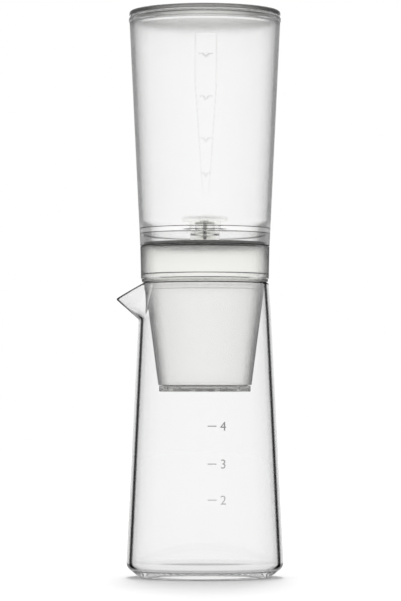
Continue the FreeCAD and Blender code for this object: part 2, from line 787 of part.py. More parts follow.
def needle_stem():
    """Needle: guide, waist for the water, cone that closes the seat, and a fine pin."""
    guide = size.housing_bore_radius - size.running_gap
    cone_foot = size.tip_orifice_radius - size.needle_gap
    cone_top = size.tip_seat_radius - size.needle_gap
    cone_foot_z = tip_seat_z - size.tip_seat_depth
    return turned_body(
        "needle_stem",
        [
            (0, cone_foot_z - size.needle_pin_length),
            (cone_foot, cone_foot_z - size.needle_pin_length),
            (cone_foot, cone_foot_z),
            (cone_top, tip_seat_z),
            (size.needle_waist_radius, tip_seat_z + size.needle_gap),
            (size.needle_waist_radius, guide_z),
            (guide, guide_z),
            (guide, needle_top_z),
            (0, needle_top_z),
        ],
    )


def knob_retaining_clip():
    """Open ring in the neck's groove, which keeps the knob on the housing."""
    inner = clip_groove_radius + size.running_gap
    body = ring_body("knob_retaining_clip", inner, clip_outer_radius, clip_z, clip_z + size.clip_thickness)
    mouth = sketch_on(body, "clip_mouth_outline", "XY_Plane")
    half = size.clip_gap / 2
    reach = clip_outer_radius * 2
    outline(mouth, [(0, -half), (reach, -half), (reach, half), (0, half)])
    cut_all_round(body, "clip_mouth", mouth, None, "N_Axis")
    return body


def regulator_knob():
    """Stepped knob with ribbed edges and a pointer groove. It turns on the housing's neck."""
    neck_bore = size.housing_neck_radius + size.running_gap
    needle_bore = size.housing_bore_radius
    room = clip_outer_radius + size.seat_gap
    room_low = clip_z - size.seat_gap
    room_high = clip_z + size.clip_thickness + size.seat_gap
    body = turned_body(
        "regulator_knob",
        [
            (neck_bore, drum_z),
            (size.knob_drum_radius, drum_z),
            (size.knob_drum_radius, disc_z),
            (size.knob_radius, disc_z),
            (size.knob_radius, knob_top_z),
            (0, knob_top_z),
            (0, knob_top_z - size.knob_roof),
            (needle_bore, knob_top_z - size.knob_roof),
            (needle_bore, disc_z),
            (neck_bore, disc_z),
            (neck_bore, room_high),
            (room, room_high),
            (room, room_low),
            (neck_bore, room_low),
        ],
    )
    cutter = size.knob_groove_radius
    disc_groove = sketch_on(body, "knob_disc_groove", "XY_Plane", offset=knob_top_z)
    circle(disc_groove, size.knob_radius + cutter * 0.3, 0, cutter)
    disc_count = size.knob_rib_count
    cut_all_round(body, "knob_disc_cut", disc_groove, disc_count, "N_Axis", size.knob_disc_height)
    drum_groove = sketch_on(body, "knob_drum_groove", "XY_Plane", offset=disc_z)
    circle(drum_groove, size.knob_drum_radius + cutter * 0.3, 0, cutter)
    drum_count = size.knob_drum_rib_count
    cut_all_round(body, "knob_drum_cut", drum_groove, drum_count, "N_Axis", size.knob_drum_height)
    mark = sketch_on(body, "knob_mark_outline", "XY_Plane", offset=knob_top_z)
    half = size.knob_mark_width / 2
    far = size.knob_radius - size.knob_mark_width
    near = far - size.knob_mark_length
    outline(mark, [(-half, -far), (half, -far), (half, -near), (-half, -near)])
    cut_all_round(body, "knob_mark", mark, None, "N_Axis", size.knob_mark_depth)
    return body


# ---------------------------------------------------------------- build, check and export

pieces = [
    glass_carafe(),
    carafe_gasket(),
    coffee_basket(),
    basket_bottom_cap(),
    *filter_pieces(),
    plate_seal(),
    shower_plate(),
    water_tank(),
    valve_housing(),
    housing_gasket(),
    lock_nut(),
    drip_tip(),
    needle_stem(),
    stem_o_ring(),
    knob_retaining_clip(),
    regulator_knob(),
    lid_gasket(),
    lid(),
]
doc.recompute()

for item in doc.Objects:
    if "Invalid" in item.State or "Error" in item.State:
        raise RuntimeError(f"{item.Name} did not compute: {item.State}")
for piece in pieces:
    if piece.Shape.isNull() or not piece.Shape.isValid():
        raise RuntimeError(f"{piece.Label} has no valid shape")
    if len(piece.Shape.Solids) != 1:
        raise RuntimeError(f"{piece.Label} is not one solid")
for piece in pieces:
    piece.Shape.exportStep(f"parts/{piece.Label}.step")
    box = piece.Shape.BoundBox
    print(f"{piece.Label:22} z {box.ZMin:8.2f} to {box.ZMax:8.2f}  volume {piece.Shape.Volume:11.1f}")
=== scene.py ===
"""Slow-drip coffee maker: glass carafe, frosted basket, clear tank with a drip regulator, smoked lid.

The pieces are built round the packed frame, in metres, with +Z up and the front facing -Y.
Run as a script it registers its tools and calls them in order. Nothing is installed.
"""

import math
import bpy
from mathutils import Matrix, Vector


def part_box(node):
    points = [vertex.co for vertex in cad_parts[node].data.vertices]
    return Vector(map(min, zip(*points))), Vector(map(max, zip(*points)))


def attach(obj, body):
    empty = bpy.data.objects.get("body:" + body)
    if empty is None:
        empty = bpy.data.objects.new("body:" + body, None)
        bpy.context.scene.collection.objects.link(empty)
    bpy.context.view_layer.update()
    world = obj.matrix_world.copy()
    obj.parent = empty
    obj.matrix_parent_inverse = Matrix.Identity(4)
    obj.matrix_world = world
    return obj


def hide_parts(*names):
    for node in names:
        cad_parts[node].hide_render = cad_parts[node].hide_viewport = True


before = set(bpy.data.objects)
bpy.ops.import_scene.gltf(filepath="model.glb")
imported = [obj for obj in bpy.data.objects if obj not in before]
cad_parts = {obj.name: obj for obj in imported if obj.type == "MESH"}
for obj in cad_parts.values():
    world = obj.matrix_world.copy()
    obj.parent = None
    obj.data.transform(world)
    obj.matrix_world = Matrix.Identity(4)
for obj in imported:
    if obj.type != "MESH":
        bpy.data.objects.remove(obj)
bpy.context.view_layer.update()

from types import SimpleNamespace

import bmesh
import bpy
from mathutils import Vector

bl_info = {
    "name": "Slow-drip coffee maker",
    "version": (1, 0, 0),
    "blender": (4, 5, 0),
    "location": "View3D > Sidebar > Coffee maker",
    "description": "Builds and finishes a slow-drip coffee maker round its packed frame",
    "category": "Object",
}

MM = 0.001
FULL_TURN = 2 * math.pi
SPOUT_SIDE = math.pi
FRONT_SIDE = -math.pi / 2

# Columns round a turned piece, round a small one and round the ribbed knob.
SMOOTH_TURN = 192
SMALL_TURN = 96
KNOB_TURN = 320

# Small rounds and clearances that several pieces share. HOLD is how far from a round the outline
# gets a point that keeps the flat beside it flat. A radius under ON_AXIS is the axis itself.
CRISP = 0.1 * MM
FINE = 0.25 * MM
SNUG = 0.08 * MM
HOLD = 0.35 * MM
ON_AXIS = 0.01 * MM

# How marks are set that tell clear finishes where to paint their edge shade. An edge whose round is
# TIGHT is marked in full, less GENTLE, which keeps gentle turns unmarked. A wall comes to count as
# upright as the outward part of its normal goes from LEANING to UPRIGHT. RIDGE_SHADE is the painted
# shade on the ridge under the beak.
TIGHT = 0.25 * MM
GENTLE = 0.02
LEANING = 0.7
UPRIGHT = 0.95
RIDGE_SHADE = 0.2
UNMARKED = (0.0, 0.0)


# ---------------------------------------------------------------- sizes and colours to change

def linear(code):
    """Linear RGBA of an sRGB hex colour."""
    channels = []
    for start in (1, 3, 5):
        value = int(code[start:start + 2], 16) / 255
        channels.append(value / 12.92 if value <= 0.04045 else ((value + 0.055) / 1.055) ** 2.4)
    return (*channels, 1.0)


def length(name, millimetres, description):
    """Length property with its default in millimetres."""
    default = millimetres * MM
    return bpy.props.FloatProperty(
        name=name, description=description, default=default, min=0.0, unit="LENGTH", precision=5
    )


def whole(name, number, description):
    """Whole-number property."""
    return bpy.props.IntProperty(name=name, description=description, default=number, min=1)


def colour(name, code, description):
    """Colour property with its default as sRGB hex."""
    return bpy.props.FloatVectorProperty(
        name=name, description=description, default=linear(code), size=4, min=0.0, max=1.0, subtype="COLOR"
    )


class CarafeSizes(bpy.types.PropertyGroup):
    """Glass of the carafe."""

    base_radius: length("Base radius", 46.75, "Wall line carried down to the foot")
    rim_radius: length("Rim radius", 37.7, "Outside of the neck at the rim")
    neck_flare: length("Neck flare", 1.4, "How much wider the neck's foot is than the rim")
    neck_length: length("Neck length", 19.8, "Rim down to the neck's foot")
    wall: length("Wall", 2.0, "Thickness of the glass")
    floor: length("Floor", 4.1, "Thickness of the floor")
    push_up: length("Push-up", 1.3, "How far the middle of the foot is raised")
    foot_radius: length("Foot radius", 38.4, "Ring that the carafe stands on")
    heel_height: length("Heel height", 6.2, "Height of the bevel between foot and wall")
    heel_round: length("Heel round", 5.5, "Round between bevel and wall")
    inner_round: length("Inner round", 2.2, "Round between inside wall and floor")
    lip_bead: length("Lip bead", 1.0, "How far the melted lip rises over the wall's end")
    beak_foot: length("Beak foot", 21.6, "Rim down to the foot of the beak")
    beak_height: length("Beak height", 12.4, "Foot of the beak up to its tip")
    beak_tip: length("Beak tip", 15.5, "How far the beak stands out of the rim")
    ridge_line: length("Ridge line", 0.7, "How far in from the beak's ridge the glass looks dark")
    beak_wall: length("Beak wall", 1.8, "Thickness of the glass at the beak's tip")
    lip_drop: length("Lip drop", 9.1, "How far the lip falls to the beak's tip")
    lip_inset: length("Lip inset", 2.8, "Rim in to the place where the lip starts to fall")
    mark_height: length("Mark height", 5.3, "Height of a numeral in the cup scale")
    dash_length: length("Dash length", 5.2, "Length of a dash in the cup scale")
    glass: colour("Glass", "#fafafa", "Clear glass, face on")
    # Glass edge is the colour of the painted shade at the glass's edges.
    edge: colour("Glass edge", "#0a0a0a", "Clear glass, seen through its wall")
    enamel: colour("Enamel", "#8b8c8a", "Fired print of the cup scale")


class BasketSizes(bpy.types.PropertyGroup):
    """Basket, bottom cap, filter and shower plate."""

    wall: length("Wall", 2.0, "Wall of the cone")
    skirt_length: length("Skirt length", 4.2, "Locating skirt below the carafe's rim")
    skirt_step: length("Skirt step", 0.35, "Step in from the skirt to the cone")
    cone_length: length("Cone length", 56.4, "Cone, from its foot to the skirt")
    cone_foot_radius: length("Cone foot radius", 27.55, "Outside of the cone at its foot")
    shoulder_thickness: length("Shoulder thickness", 3.5, "Shoulder that hangs on the carafe")
    shoulder_lip: length("Shoulder lip", 0.9, "How far the shoulder's edge hangs over its gasket")
    shoulder_line: length("Shoulder line", 1.4, "Lip's foot up to the step round the shoulder")
    shoulder_step: length("Shoulder step", 0.5, "Depth of that step")
    collar_flare: length("Collar flare", 0.9, "How much the collar widens up to its rim")
    collar_wall: length("Collar wall", 3.3, "Wall of the collar")
    foot_spigot_wall: length("Foot spigot wall", 1.4, "Wall of the spigot in the bottom cap")
    cap_wall: length("Cap wall", 1.7, "Side wall of the bottom cap")
    cap_draft: length("Cap draft", 0.45, "How much narrower the cap's foot is")
    cap_drop: length("Cap drop", 0.9, "How far the cap's edge lies under its place in the frame")
    slot_width: length("Slot width", 3.2, "Drain slot in the cap's floor")
    seal_leg: length("Seal leg", 0.5, "Wall of the plate seal's leg round the spigot")
    port_radius: length("Port radius", 0.6, "Drain hole in the cap's side")
    wire_pitch: length("Wire pitch", 1.2, "Spacing of the filter's wires")
    wire_radius: length("Wire radius", 0.14, "Radius of a filter wire")
    hole_radius: length("Hole radius", 0.9, "Hole in the shower plate")
    hole_margin: length("Hole margin", 5.1, "Plate's edge in to the outermost ring of holes")
    hole_rings: whole("Hole rings", 6, "Rings of holes in the shower plate")
    plate_rim: length("Plate rim", 2.7, "Depth of the plate's turned-down rim")
    plate_rim_radius: length("Plate rim radius", 34.3, "Outside of that rim")
    frosted: colour("Frosted", "#fefefd", "Frosted plastic, face on")
    collar: colour("Collar", "#f9f9f7", "Clear plastic of the thicker collar, face on")
    # Frosted edge is the colour of the painted shade at the frosted walls' edges.
    frosted_edge: colour("Frosted edge", "#50503a", "Frosted plastic, seen through its wall")
    steel: colour("Steel", "#6a6a67", "Perforated steel")
    # Rim steel is painted shade: the rim is the same steel as the plate, drawn nearly black for the shade
    # round it.
    rim_steel: colour("Rim steel", "#1c1c1b", "Steel of the plate's turned-down rim, dull from the press")


class TankSizes(bpy.types.PropertyGroup):
    """Water tank, lid and level panel."""

    wall: length("Wall", 2.2, "Wall of the tank")
    rim_height: length("Rim height", 3.2, "Thick band at the rim")
    rim_wall: length("Rim wall", 2.4, "Wall of that band")
    foot_overhang: length("Foot overhang", 0.05, "How far the skirt stands out over the collar")
    panel_top: length("Panel top", 15.0, "Rim down to the top of the level panel")
    panel_foot: length("Panel foot", 18.0, "Floor up to the foot of the level panel")
    panel_width: length("Panel width", 12.4, "Level panel at its top")
    panel_foot_width: length("Panel foot width", 3.6, "Level panel at its foot")
    panel_taper: bpy.props.FloatProperty(
        name="Panel taper", description="Share of the panel that tapers", default=0.705, min=0.01, max=1.0
    )
    panel_relief: length("Panel relief", 0.26, "How far the level panel stands out")
    bead_low: length("Bead low", 3.4, "Rim down to the lower edge of the bead round the rim")
    bead_high: length("Bead high", 1.3, "Rim down to the upper edge of that bead")
    bead_relief: length("Bead relief", 0.4, "How far that bead stands out")
    chevron_width: length("Chevron width", 7.6, "Level mark from end to end")
    lid_dish: length("Lid dish", 0.8, "Depth of the dish in the lid's top")
    lid_dish_inset: length("Lid dish inset", 3.6, "Lid's edge in to that dish")
    lid_edge_round: length("Lid edge round", 1.5, "Round of the lid's top edge")
    lid_skirt_wall: length("Lid skirt wall", 1.8, "Wall of the lid's skirt")
    side_gap: length("Side gap", 0.4, "Between the lid's skirt and the tank")
    tank: colour("Tank", "#fdfdfd", "Clear tank plastic, face on")
    # Tank edge is the colour of the painted shade where the tank's walls are seen aslant.
    tank_edge: colour("Tank edge", "#50503a", "Clear tank plastic, seen through its wall")
    smoke: colour("Smoke", "#fffffe", "Smoked lid, skin")
    # Smoke edge is the colour of the painted shade where the lid is seen aslant.
    smoke_edge: colour("Smoke edge", "#10100e", "Smoked lid, seen aslant")


class ValveSizes(bpy.types.PropertyGroup):
    """Drip regulator."""

    knob_groove: length("Knob groove", 0.45, "Depth of the grip grooves")
    knob_ribs: whole("Knob ribs", 40, "Ribs round the disc")
    drum_ribs: whole("Drum ribs", 28, "Ribs round the drum")
    edge: length("Edge", 0.25, "Small round on moulded edges")
    acetal: colour("Natural plastic", "#fefefc", "Natural moulded plastic")


class StageSettings(bpy.types.PropertyGroup):
    """Camera and plain studio round the coffee maker."""

    distance: length("Distance", 2011.0, "Camera to the axis")
    eye_height: length("Eye height", 98.9, "Camera over the floor")
    aim_height: length("Aim height", 163.4, "Height that the camera looks at")
    aside: length("Aside", 2.6, "Camera's place to the left of the axis")
    lens: bpy.props.FloatProperty(
        name="Lens", description="Focal length", default=203.7, min=1.0, subtype="DISTANCE_CAMERA"
    )
    backdrop: colour("Backdrop", "#ffffff", "Background and floor")


GROUPS = (
    ("carafe_sizes", CarafeSizes),
    ("basket_sizes", BasketSizes),
    ("tank_sizes", TankSizes),
    ("valve_sizes", ValveSizes),
    ("stage_settings", StageSettings),
)


# ---------------------------------------------------------------- places, levels and angles

def place_of(node):
    """Radius, lowest and highest level of a CAD node that stands on the axis."""
    low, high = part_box(node)
    return SimpleNamespace(radius=max(high.x, high.y), low=low.z, high=high.z)


def between(start, end, level):
    """Radius at a level on the line between two (radius, level) points."""
    share = (level - start[1]) / (end[1] - start[1])
    return start[0] + (end[0] - start[0]) * share


def ease(value):
    """Smooth step from 0 to 1."""
    value = min(max(value, 0.0), 1.0)
    return value * value * (3 - 2 * value)


def spread(start, end, step):
    """Values from start to end, about a step apart."""
    count = max(1, math.ceil(abs(end - start) / step))
    return [start + (end - start) * index / count for index in range(count + 1)]


def turn_angles(fine_side, fine_half, columns, crowding=1.0):
    """Angles round the axis, with more columns within fine_half of fine_side. Crowding over 1 sets
    them closest together in the middle of it."""
    fine = []
    for column in range(-columns, columns + 1):
        share = abs(column / columns) ** crowding
        fine.append(fine_side + math.copysign(share, column) * fine_half)
    coarse = spread(fine_side + fine_half, fine_side - fine_half + FULL_TURN, FULL_TURN / SMOOTH_TURN)
    return fine + coarse[1:-1]


def polar(radius, angle, level):
    """Point at a radius, an angle and a level."""
    return Vector((radius * math.cos(angle), radius * math.sin(angle), level))


def polar_ring(radius, level, angles):
    """Ring of points at one radius and level, or the pole."""
    if radius < ON_AXIS:
        return [Vector((0, 0, level))]
    return [polar(radius, angle, level) for angle in angles]


# ---------------------------------------------------------------- meshes

def rounded(corners, closed=True, steps=6):
    """Points of an outline of (radius, level, round) corners, with their rounds and holding points."""
    points = []
    count = len(corners)
    for index, (radius, level, fillet) in enumerate(corners):
        here = Vector((radius, level))
        if not closed and index in (0, count - 1):
            points.append(here)
            continue
        before = Vector(corners[index - 1][:2]) - here
        after = Vector(corners[(index + 1) % count][:2]) - here
        inside = before.angle(after)
        reach = fillet / math.tan(inside / 2) if fillet else 0.0
        start = here + before.normalized() * reach
        end = here + after.normalized() * reach
        spare = min((before.length - reach) / 3, HOLD)
        points.append(start + before.normalized() * spare)
        if fillet:
            inward = (before.normalized() + after.normalized()).normalized()
            middle = here + inward * (fillet / math.sin(inside / 2))
            from_angle = math.atan2(*(start - middle).yx)
            sweep = math.remainder(math.atan2(*(end - middle).yx) - from_angle, FULL_TURN)
            for step in range(steps + 1):
                angle = from_angle + sweep * step / steps
                points.append(middle + Vector((math.cos(angle), math.sin(angle))) * fillet)
        else:
            points.append(here)
        spare = min((after.length - reach) / 3, HOLD)
        points.append(end + after.normalized() * spare)
    return points


def even(points, step=9 * MM):
    """Points with long runs divided."""
    out = [points[0]]
    for start, end in zip(points, points[1:]):
        count = max(1, math.ceil((end - start).length / step))
        out += [start.lerp(end, index / count) for index in range(1, count + 1)]
    return out


def add_object(name, data):
    """Object with some data, in the scene."""
    piece = bpy.data.objects.new(name, data)
    bpy.context.scene.collection.objects.link(piece)
    return piece


def mesh_data(mesh, name):
    """Mesh data from a bmesh, which is freed."""
    data = bpy.data.meshes.new(name)
    mesh.to_mesh(data)
    mesh.free()
    return data


def curve_data(curve):
    """Mesh data from a curve or text."""
    flat = add_object(f"{curve.name}_flat", curve)
    data = bpy.data.meshes.new_from_object(flat.evaluated_get(bpy.context.evaluated_depsgraph_get()))
    bpy.data.objects.remove(flat)
    return data


def turn_of(vert):
    """How tightly the surface turns on both sides of a vertex, as one over its radius."""
    turns = [0.0, 0.0]
    for edge in vert.link_edges:
        apart = edge.other_vert(vert).normal - vert.normal
        turns.append(apart.length / max(edge.calc_length(), ON_AXIS))
    return sorted(turns)[-2]


def finish_mesh(mesh, name, calm=UNMARKED):
    """Object from a bmesh, smooth, with marks that tell clear finishes where to paint edge shade: how
    far the surface faces outwards and inwards, and how tightly it turns, except between the two
    levels of calm."""
    outer = mesh.verts.layers.float.new("outer_wall")
    inner = mesh.verts.layers.float.new("inner_wall")
    tight = mesh.verts.layers.float.new("tight_turn")
    mesh.normal_update()
    for vert in mesh.verts:
        outward = vert.normal.x * vert.co.x + vert.normal.y * vert.co.y
        outward /= max(math.hypot(vert.co.x, vert.co.y), ON_AXIS)
        vert[outer] = ease((outward - LEANING) / (UPRIGHT - LEANING))
        vert[inner] = max(-outward, 0.0)
        if not calm[0] < vert.co.z < calm[1]:
            vert[tight] = min(max(turn_of(vert) * TIGHT - GENTLE, 0.0), 1.0)
    data = mesh_data(mesh, name)
    data.polygons.foreach_set("use_smooth", [True] * len(data.polygons))
    return add_object(name, data)


def skin_rings(rings, name, calm=UNMARKED):
    """Closed mesh object through rings of points. A ring of one point is a pole on the axis."""
    mesh = bmesh.new()
    made = [[mesh.verts.new(point) for point in ring] for ring in rings]
    for lower, upper in zip(made, made[1:] + made[:1]):
        count = max(len(lower), len(upper))
        for index in range(count if count > 1 else 0):
            following = (index + 1) % count
            corners = [lower[index % len(lower)], lower[following % len(lower)]]
            corners += [upper[following % len(upper)], upper[index % len(upper)]]
            mesh.faces.new(list(dict.fromkeys(corners)))
    bmesh.ops.recalc_face_normals(mesh, faces=mesh.faces)
    return finish_mesh(mesh, name, calm)


def turned(name, corners, segments=SMOOTH_TURN, ribs=None, calm=UNMARKED):
    """Closed outline turned round the axis. ribs(radius, level, angle) gives another radius."""
    angles = [FULL_TURN * index / segments for index in range(segments)]
    rings = []
    for radius, level in rounded(corners):
        if ribs is None or radius < ON_AXIS:
            rings.append(polar_ring(radius, level, angles))
        else:
            rings.append([polar(ribs(radius, level, angle), angle, level) for angle in angles])
    return skin_rings(rings, name, calm)


def band(inner, outer, low, high, low_round, high_round):
    """Outline of a band of rectangular section."""
    foot = [(inner, low, low_round), (outer, low, low_round)]
    return foot + [(outer, high, high_round), (inner, high, high_round)]


def ring(name, node, wall, edge):
    """Turned ring in the place of a CAD ring, with its edges rounded."""
    place = place_of(node)
    return turned(name, band(place.radius - wall, place.radius, place.low, place.high, edge, edge))


def wrap(mesh, first, second):
    """Faces between two like rings of vertices."""
    for index in range(len(first)):
        following = (index + 1) % len(first)
        mesh.faces.new((first[index], first[following], second[following], second[index]))


def cut(piece, cutters):
    """Cut tools out of a piece for good, and remove them."""
    for cutter in cutters:
        modifier = piece.modifiers.new("cut", "BOOLEAN")
        modifier.operation = "DIFFERENCE"
        modifier.solver = "EXACT"
        modifier.object = cutter
    data = bpy.data.meshes.new_from_object(piece.evaluated_get(bpy.context.evaluated_depsgraph_get()))
    piece.modifiers.clear()
    piece.data = data
    data.set_sharp_from_angle(angle=math.radians(35))
    for cutter in cutters:
        bpy.data.objects.remove(cutter)


def settle(piece, body, material, *nodes, slot=None):
    """Give a piece its finish, let it ride on its body and stand for its CAD nodes."""
    piece.data.materials.clear()
    piece.data.materials.append(material)
    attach(piece, body)
    if nodes:
        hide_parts(*nodes)


# ---------------------------------------------------------------- materials

def tone_of(shade):
    """RGBA of a grey or a colour."""
    return tuple(shade) if hasattr(shade, "__len__") else (shade, shade, shade, 1)


def add_node(tree, kind, settings=None, links=None, stops=()):
    """Add a shader node with its settings, its links and a colour ramp's stops. A link comes from a
    socket, or from another node's first output. A stop is a place with a grey or a colour."""
    node = tree.nodes.new("ShaderNode" + kind)
    for name, value in (settings or {}).items():
        if isinstance(name, int) or name in node.inputs:
            node.inputs[name].default_value = value
        else:
            setattr(node, name, value)
    for name, source in (links or {}).items():
        tree.links.new(getattr(source, "outputs", [source])[0], node.inputs[name])
    for place, shade in stops[1:-1]:
        node.color_ramp.elements.new(place).color = tone_of(shade)
    for end in (0, -1) if stops else ():
        element = node.color_ramp.elements[end]
        element.position, element.color = stops[end][0], tone_of(stops[end][1])
    return node


def new_material(name):
    """Empty node material and its tree."""
    material = bpy.data.materials.new(name)
    material.use_nodes = True
    material.node_tree.nodes.clear()
    return material, material.node_tree


def finished(material, shader, loss=None):
    """Send a shader to the surface, and what the inside swallows to the volume."""
    links = {"Surface": shader} if loss is None else {"Surface": shader, "Volume": loss}
    add_node(material.node_tree, "OutputMaterial", {}, links)
    return material


def darker(face, share):
    """Colour with a share of its light taken away."""
    return (*[channel * (1 - share) for channel in face[:3]], 1)


def edge_shade(tree, outer_stops, inner_stops, line, lean=None):
    """Painted shade of a clear wall, from 0 to 1: upright walls seen aslant, and tight turns. It stands
    for the dark surroundings that real clear walls show at their edges.

    The stops are (slant, shade) for the outer and the inner skin. The inner skin is where a hollow
    wall turns light away, so its painted shade draws the dark line inside the outline. Line is the
    painted shade of an edge whose round is as tight as TIGHT. Lean adds to the slant, which deepens
    the painted shade.
    """
    slant = add_node(tree, "LayerWeight", {"Blend": 0.5}).outputs["Facing"]
    if lean is not None:
        slant = add_node(tree, "Math", {"operation": "ADD"}, {0: slant, 1: lean})
    turn = add_node(tree, "Attribute", {"attribute_name": "tight_turn"}).outputs["Fac"]
    total = add_node(tree, "Math", {"operation": "MULTIPLY", 1: line}, {0: turn})
    for mark, stops in (("outer_wall", outer_stops), ("inner_wall", inner_stops)):
        ramp = add_node(tree, "ValToRGB", {}, {"Fac": slant}, stops)
        skin = add_node(tree, "Attribute", {"attribute_name": mark}).outputs["Fac"]
        links = {0: ramp, 1: skin, 2: total}
        total = add_node(tree, "Math", {"operation": "MULTIPLY_ADD", "use_clamp": True}, links)
    return total


def clear_wall(tree, face, edge, ior, shade, links):
    """See-through wall. Its coat is painted shade: a dark film, set by the edge shade, which stands for
    the light that real walls' edges turn away to the dark room round them. Edge is its colour."""
    values = {"Base Color": tuple(face), "Transmission Weight": 1.0, "IOR": ior, "Roughness": 0.0}
    values.update({"Coat Tint": tuple(edge), "Coat IOR": 1.0, "Coat Roughness": 0.3})
    return add_node(tree, "BsdfPrincipled", values, {"Coat Weight": shade, **links})


# Painted shade of clear walls, as (slant, shade) stops of the edge shade, from face on to edge on.
GLASS_OUTER = (
    (0, 0), (0.5, 0.01), (0.6, 0.08), (0.65, 0.9), (0.71, 0.97), (0.75, 0.56), (0.81, 0.25), (1, 0.15)
)
GLASS_INNER = (
    (0, 0), (0.27, 0.01), (0.4, 0.045), (0.55, 0.12), (0.7, 0.31), (0.78, 0.43), (0.85, 0.9), (1, 1)
)
PLASTIC_OUTER = (
    (0, 0), (0.34, 0.01), (0.44, 0.045), (0.53, 0.11), (0.62, 0.285), (0.69, 0.55), (0.8, 0.6), (1, 0.5)
)
PLASTIC_INNER = ((0, 0), (0.42, 0.015), (0.51, 0.045), (0.63, 0.12), (0.72, 0.165), (0.86, 0.2), (1, 0.25))
SMOKE_OUTER = (
    (0, 0.12), (0.1, 0.22), (0.2, 0.4), (0.36, 0.66), (0.7, 0.75), (0.82, 0.72), (0.87, 0.42), (1, 0.42)
)
SMOKE_INNER = ((0, 0), (0.4, 0.08), (1, 0.4))
FROSTED_OUTER = (
    (0, 0), (0.3, 0.02), (0.38, 0.065), (0.475, 0.22), (0.55, 0.36), (0.63, 0.61), (0.8, 0.8), (1, 0.84)
)
FROSTED_INNER = ((0, 0), (0.5, 0.02), (1, 0.1))


def blown_borosilicate(sizes):
    """Borosilicate glass, blown and fire-polished: clear and bright, with painted shade at its wall
    edges, and waves, 0.02 mm deep over about 28 mm, that bend what is behind it."""
    material, tree = new_material("borosilicate_glass_blown")
    place = add_node(tree, "TexCoord").outputs["Object"]
    waves = add_node(tree, "TexNoise", {"Scale": 1 / (28 * MM), "Detail": 1.0}, {"Vector": place})
    bump = add_node(tree, "Bump", {"Strength": 1.0, "Distance": 0.02 * MM}, {"Height": waves})
    shade = edge_shade(tree, GLASS_OUTER, GLASS_INNER, 4.0)
    return finished(material, clear_wall(tree, sizes.glass, sizes.edge, 1.47, shade, {"Normal": bump}))


def fired_enamel(sizes):
    """Enamel, screen-printed and fired: a matt grey skin, uneven over 0.5 mm, and paler from 90 mm
    up the glass down to 46 mm."""
    material, tree = new_material("enamel_fired_print")
    place = add_node(tree, "TexCoord").outputs["Object"]
    specks = add_node(tree, "TexNoise", {"Scale": 1 / (0.5 * MM), "Detail": 3.0}, {"Vector": place})
    height = add_node(tree, "SeparateXYZ", {}, {0: place}).outputs["Z"]
    levels = {"From Min": 90 * MM, "From Max": 46 * MM, "To Min": 0.0, "To Max": 0.45}
    fade = add_node(tree, "MapRange", levels, {"Value": height})
    settings = {"operation": "MULTIPLY_ADD", 1: 0.12}
    paleness = add_node(tree, "Math", settings, {0: specks, 2: fade})
    tint = add_node(tree, "ValToRGB", {}, {"Fac": paleness}, [(0.0, sizes.enamel), (1.0, 1.0)])
    settings = {"Roughness": 0.6, "IOR": 1.5}
    return finished(material, add_node(tree, "BsdfPrincipled", settings, {"Base Color": tint}))


def moulded_clear(
    name, face, edge, ior, haze, line, outer=PLASTIC_OUTER, inner=PLASTIC_INNER, clear_below=0.0, density=None
):
    """Clear moulded plastic: haze that drifts a little with the flow in the mould, and a faint
    ripple, 0.01 mm deep over about 12 mm. Edge is the colour of its painted shade, and line is as in
    the edge shade. Under the level clear_below the haze is thin, and walls get deeper painted shade,
    as if seen more aslant. Density is how strongly the plastic swallows light on its way inside, per
    metre."""
    material, tree = new_material(name)
    place = add_node(tree, "TexCoord").outputs["Object"]
    flow = add_node(tree, "TexNoise", {"Scale": 1 / (12 * MM), "Detail": 2.0}, {"Vector": place})
    drift = add_node(tree, "MapRange", {"To Min": haze * 0.85, "To Max": haze * 1.15}, {"Value": flow})
    bump = add_node(tree, "Bump", {"Strength": 1.0, "Distance": 0.01 * MM}, {"Height": flow})
    height = add_node(tree, "SeparateXYZ", {}, {0: place}).outputs["Z"]
    fades = []
    for reach, below, above in ((4 * MM, 0.2, 1.0), (3 * MM, 0.24, 0.0)):
        levels = {"From Min": clear_below, "From Max": clear_below + reach, "To Min": below, "To Max": above}
        fades.append(add_node(tree, "MapRange", levels, {"Value": height}))
    hazy, lean = fades
    rough = add_node(tree, "Math", {"operation": "MULTIPLY"}, {0: drift, 1: hazy})
    shade = edge_shade(tree, outer, inner, line, lean)
    shader = clear_wall(tree, face, edge, ior, shade, {"Roughness": rough, "Normal": bump})
    loss = None
    if density is not None:
        loss = add_node(tree, "VolumeAbsorption", {"Color": linear("#7d7d78"), "Density": density})
    return finished(material, shader, loss)


def tank_copolyester(sizes):
    """Copolyester, injection moulded: clear with a breath of haze, with painted shade where seen
    aslant, and clearer under the tank's floor, where the painted shade is deeper."""
    name = "copolyester_clear_moulded"
    return moulded_clear(name, sizes.tank, sizes.tank_edge, 1.56, 0.17, 1.0, clear_below=207 * MM)


def smoked_copolyester(sizes):
    """Smoked copolyester, moulded and polished: pale through its thin top and nearly black edge-on,
    partly because light is lost along its way inside and partly from painted shade, a little even face on."""
    return moulded_clear(
        "copolyester_smoked_polished", sizes.smoke, sizes.smoke_edge, 1.56, 0.06, 0.3,
        outer=SMOKE_OUTER, inner=SMOKE_INNER, density=13.5,
    )


def clear_polypropylene(sizes):
    """Polypropylene, moulded in a polished tool: slightly hazy, dark where seen through its length, from
    light lost inside and from painted edge shade.
    """
    name = "polypropylene_clear_moulded"
    return moulded_clear(name, sizes.frosted, sizes.frosted_edge, 1.49, 0.1, 0.15, density=40.0)


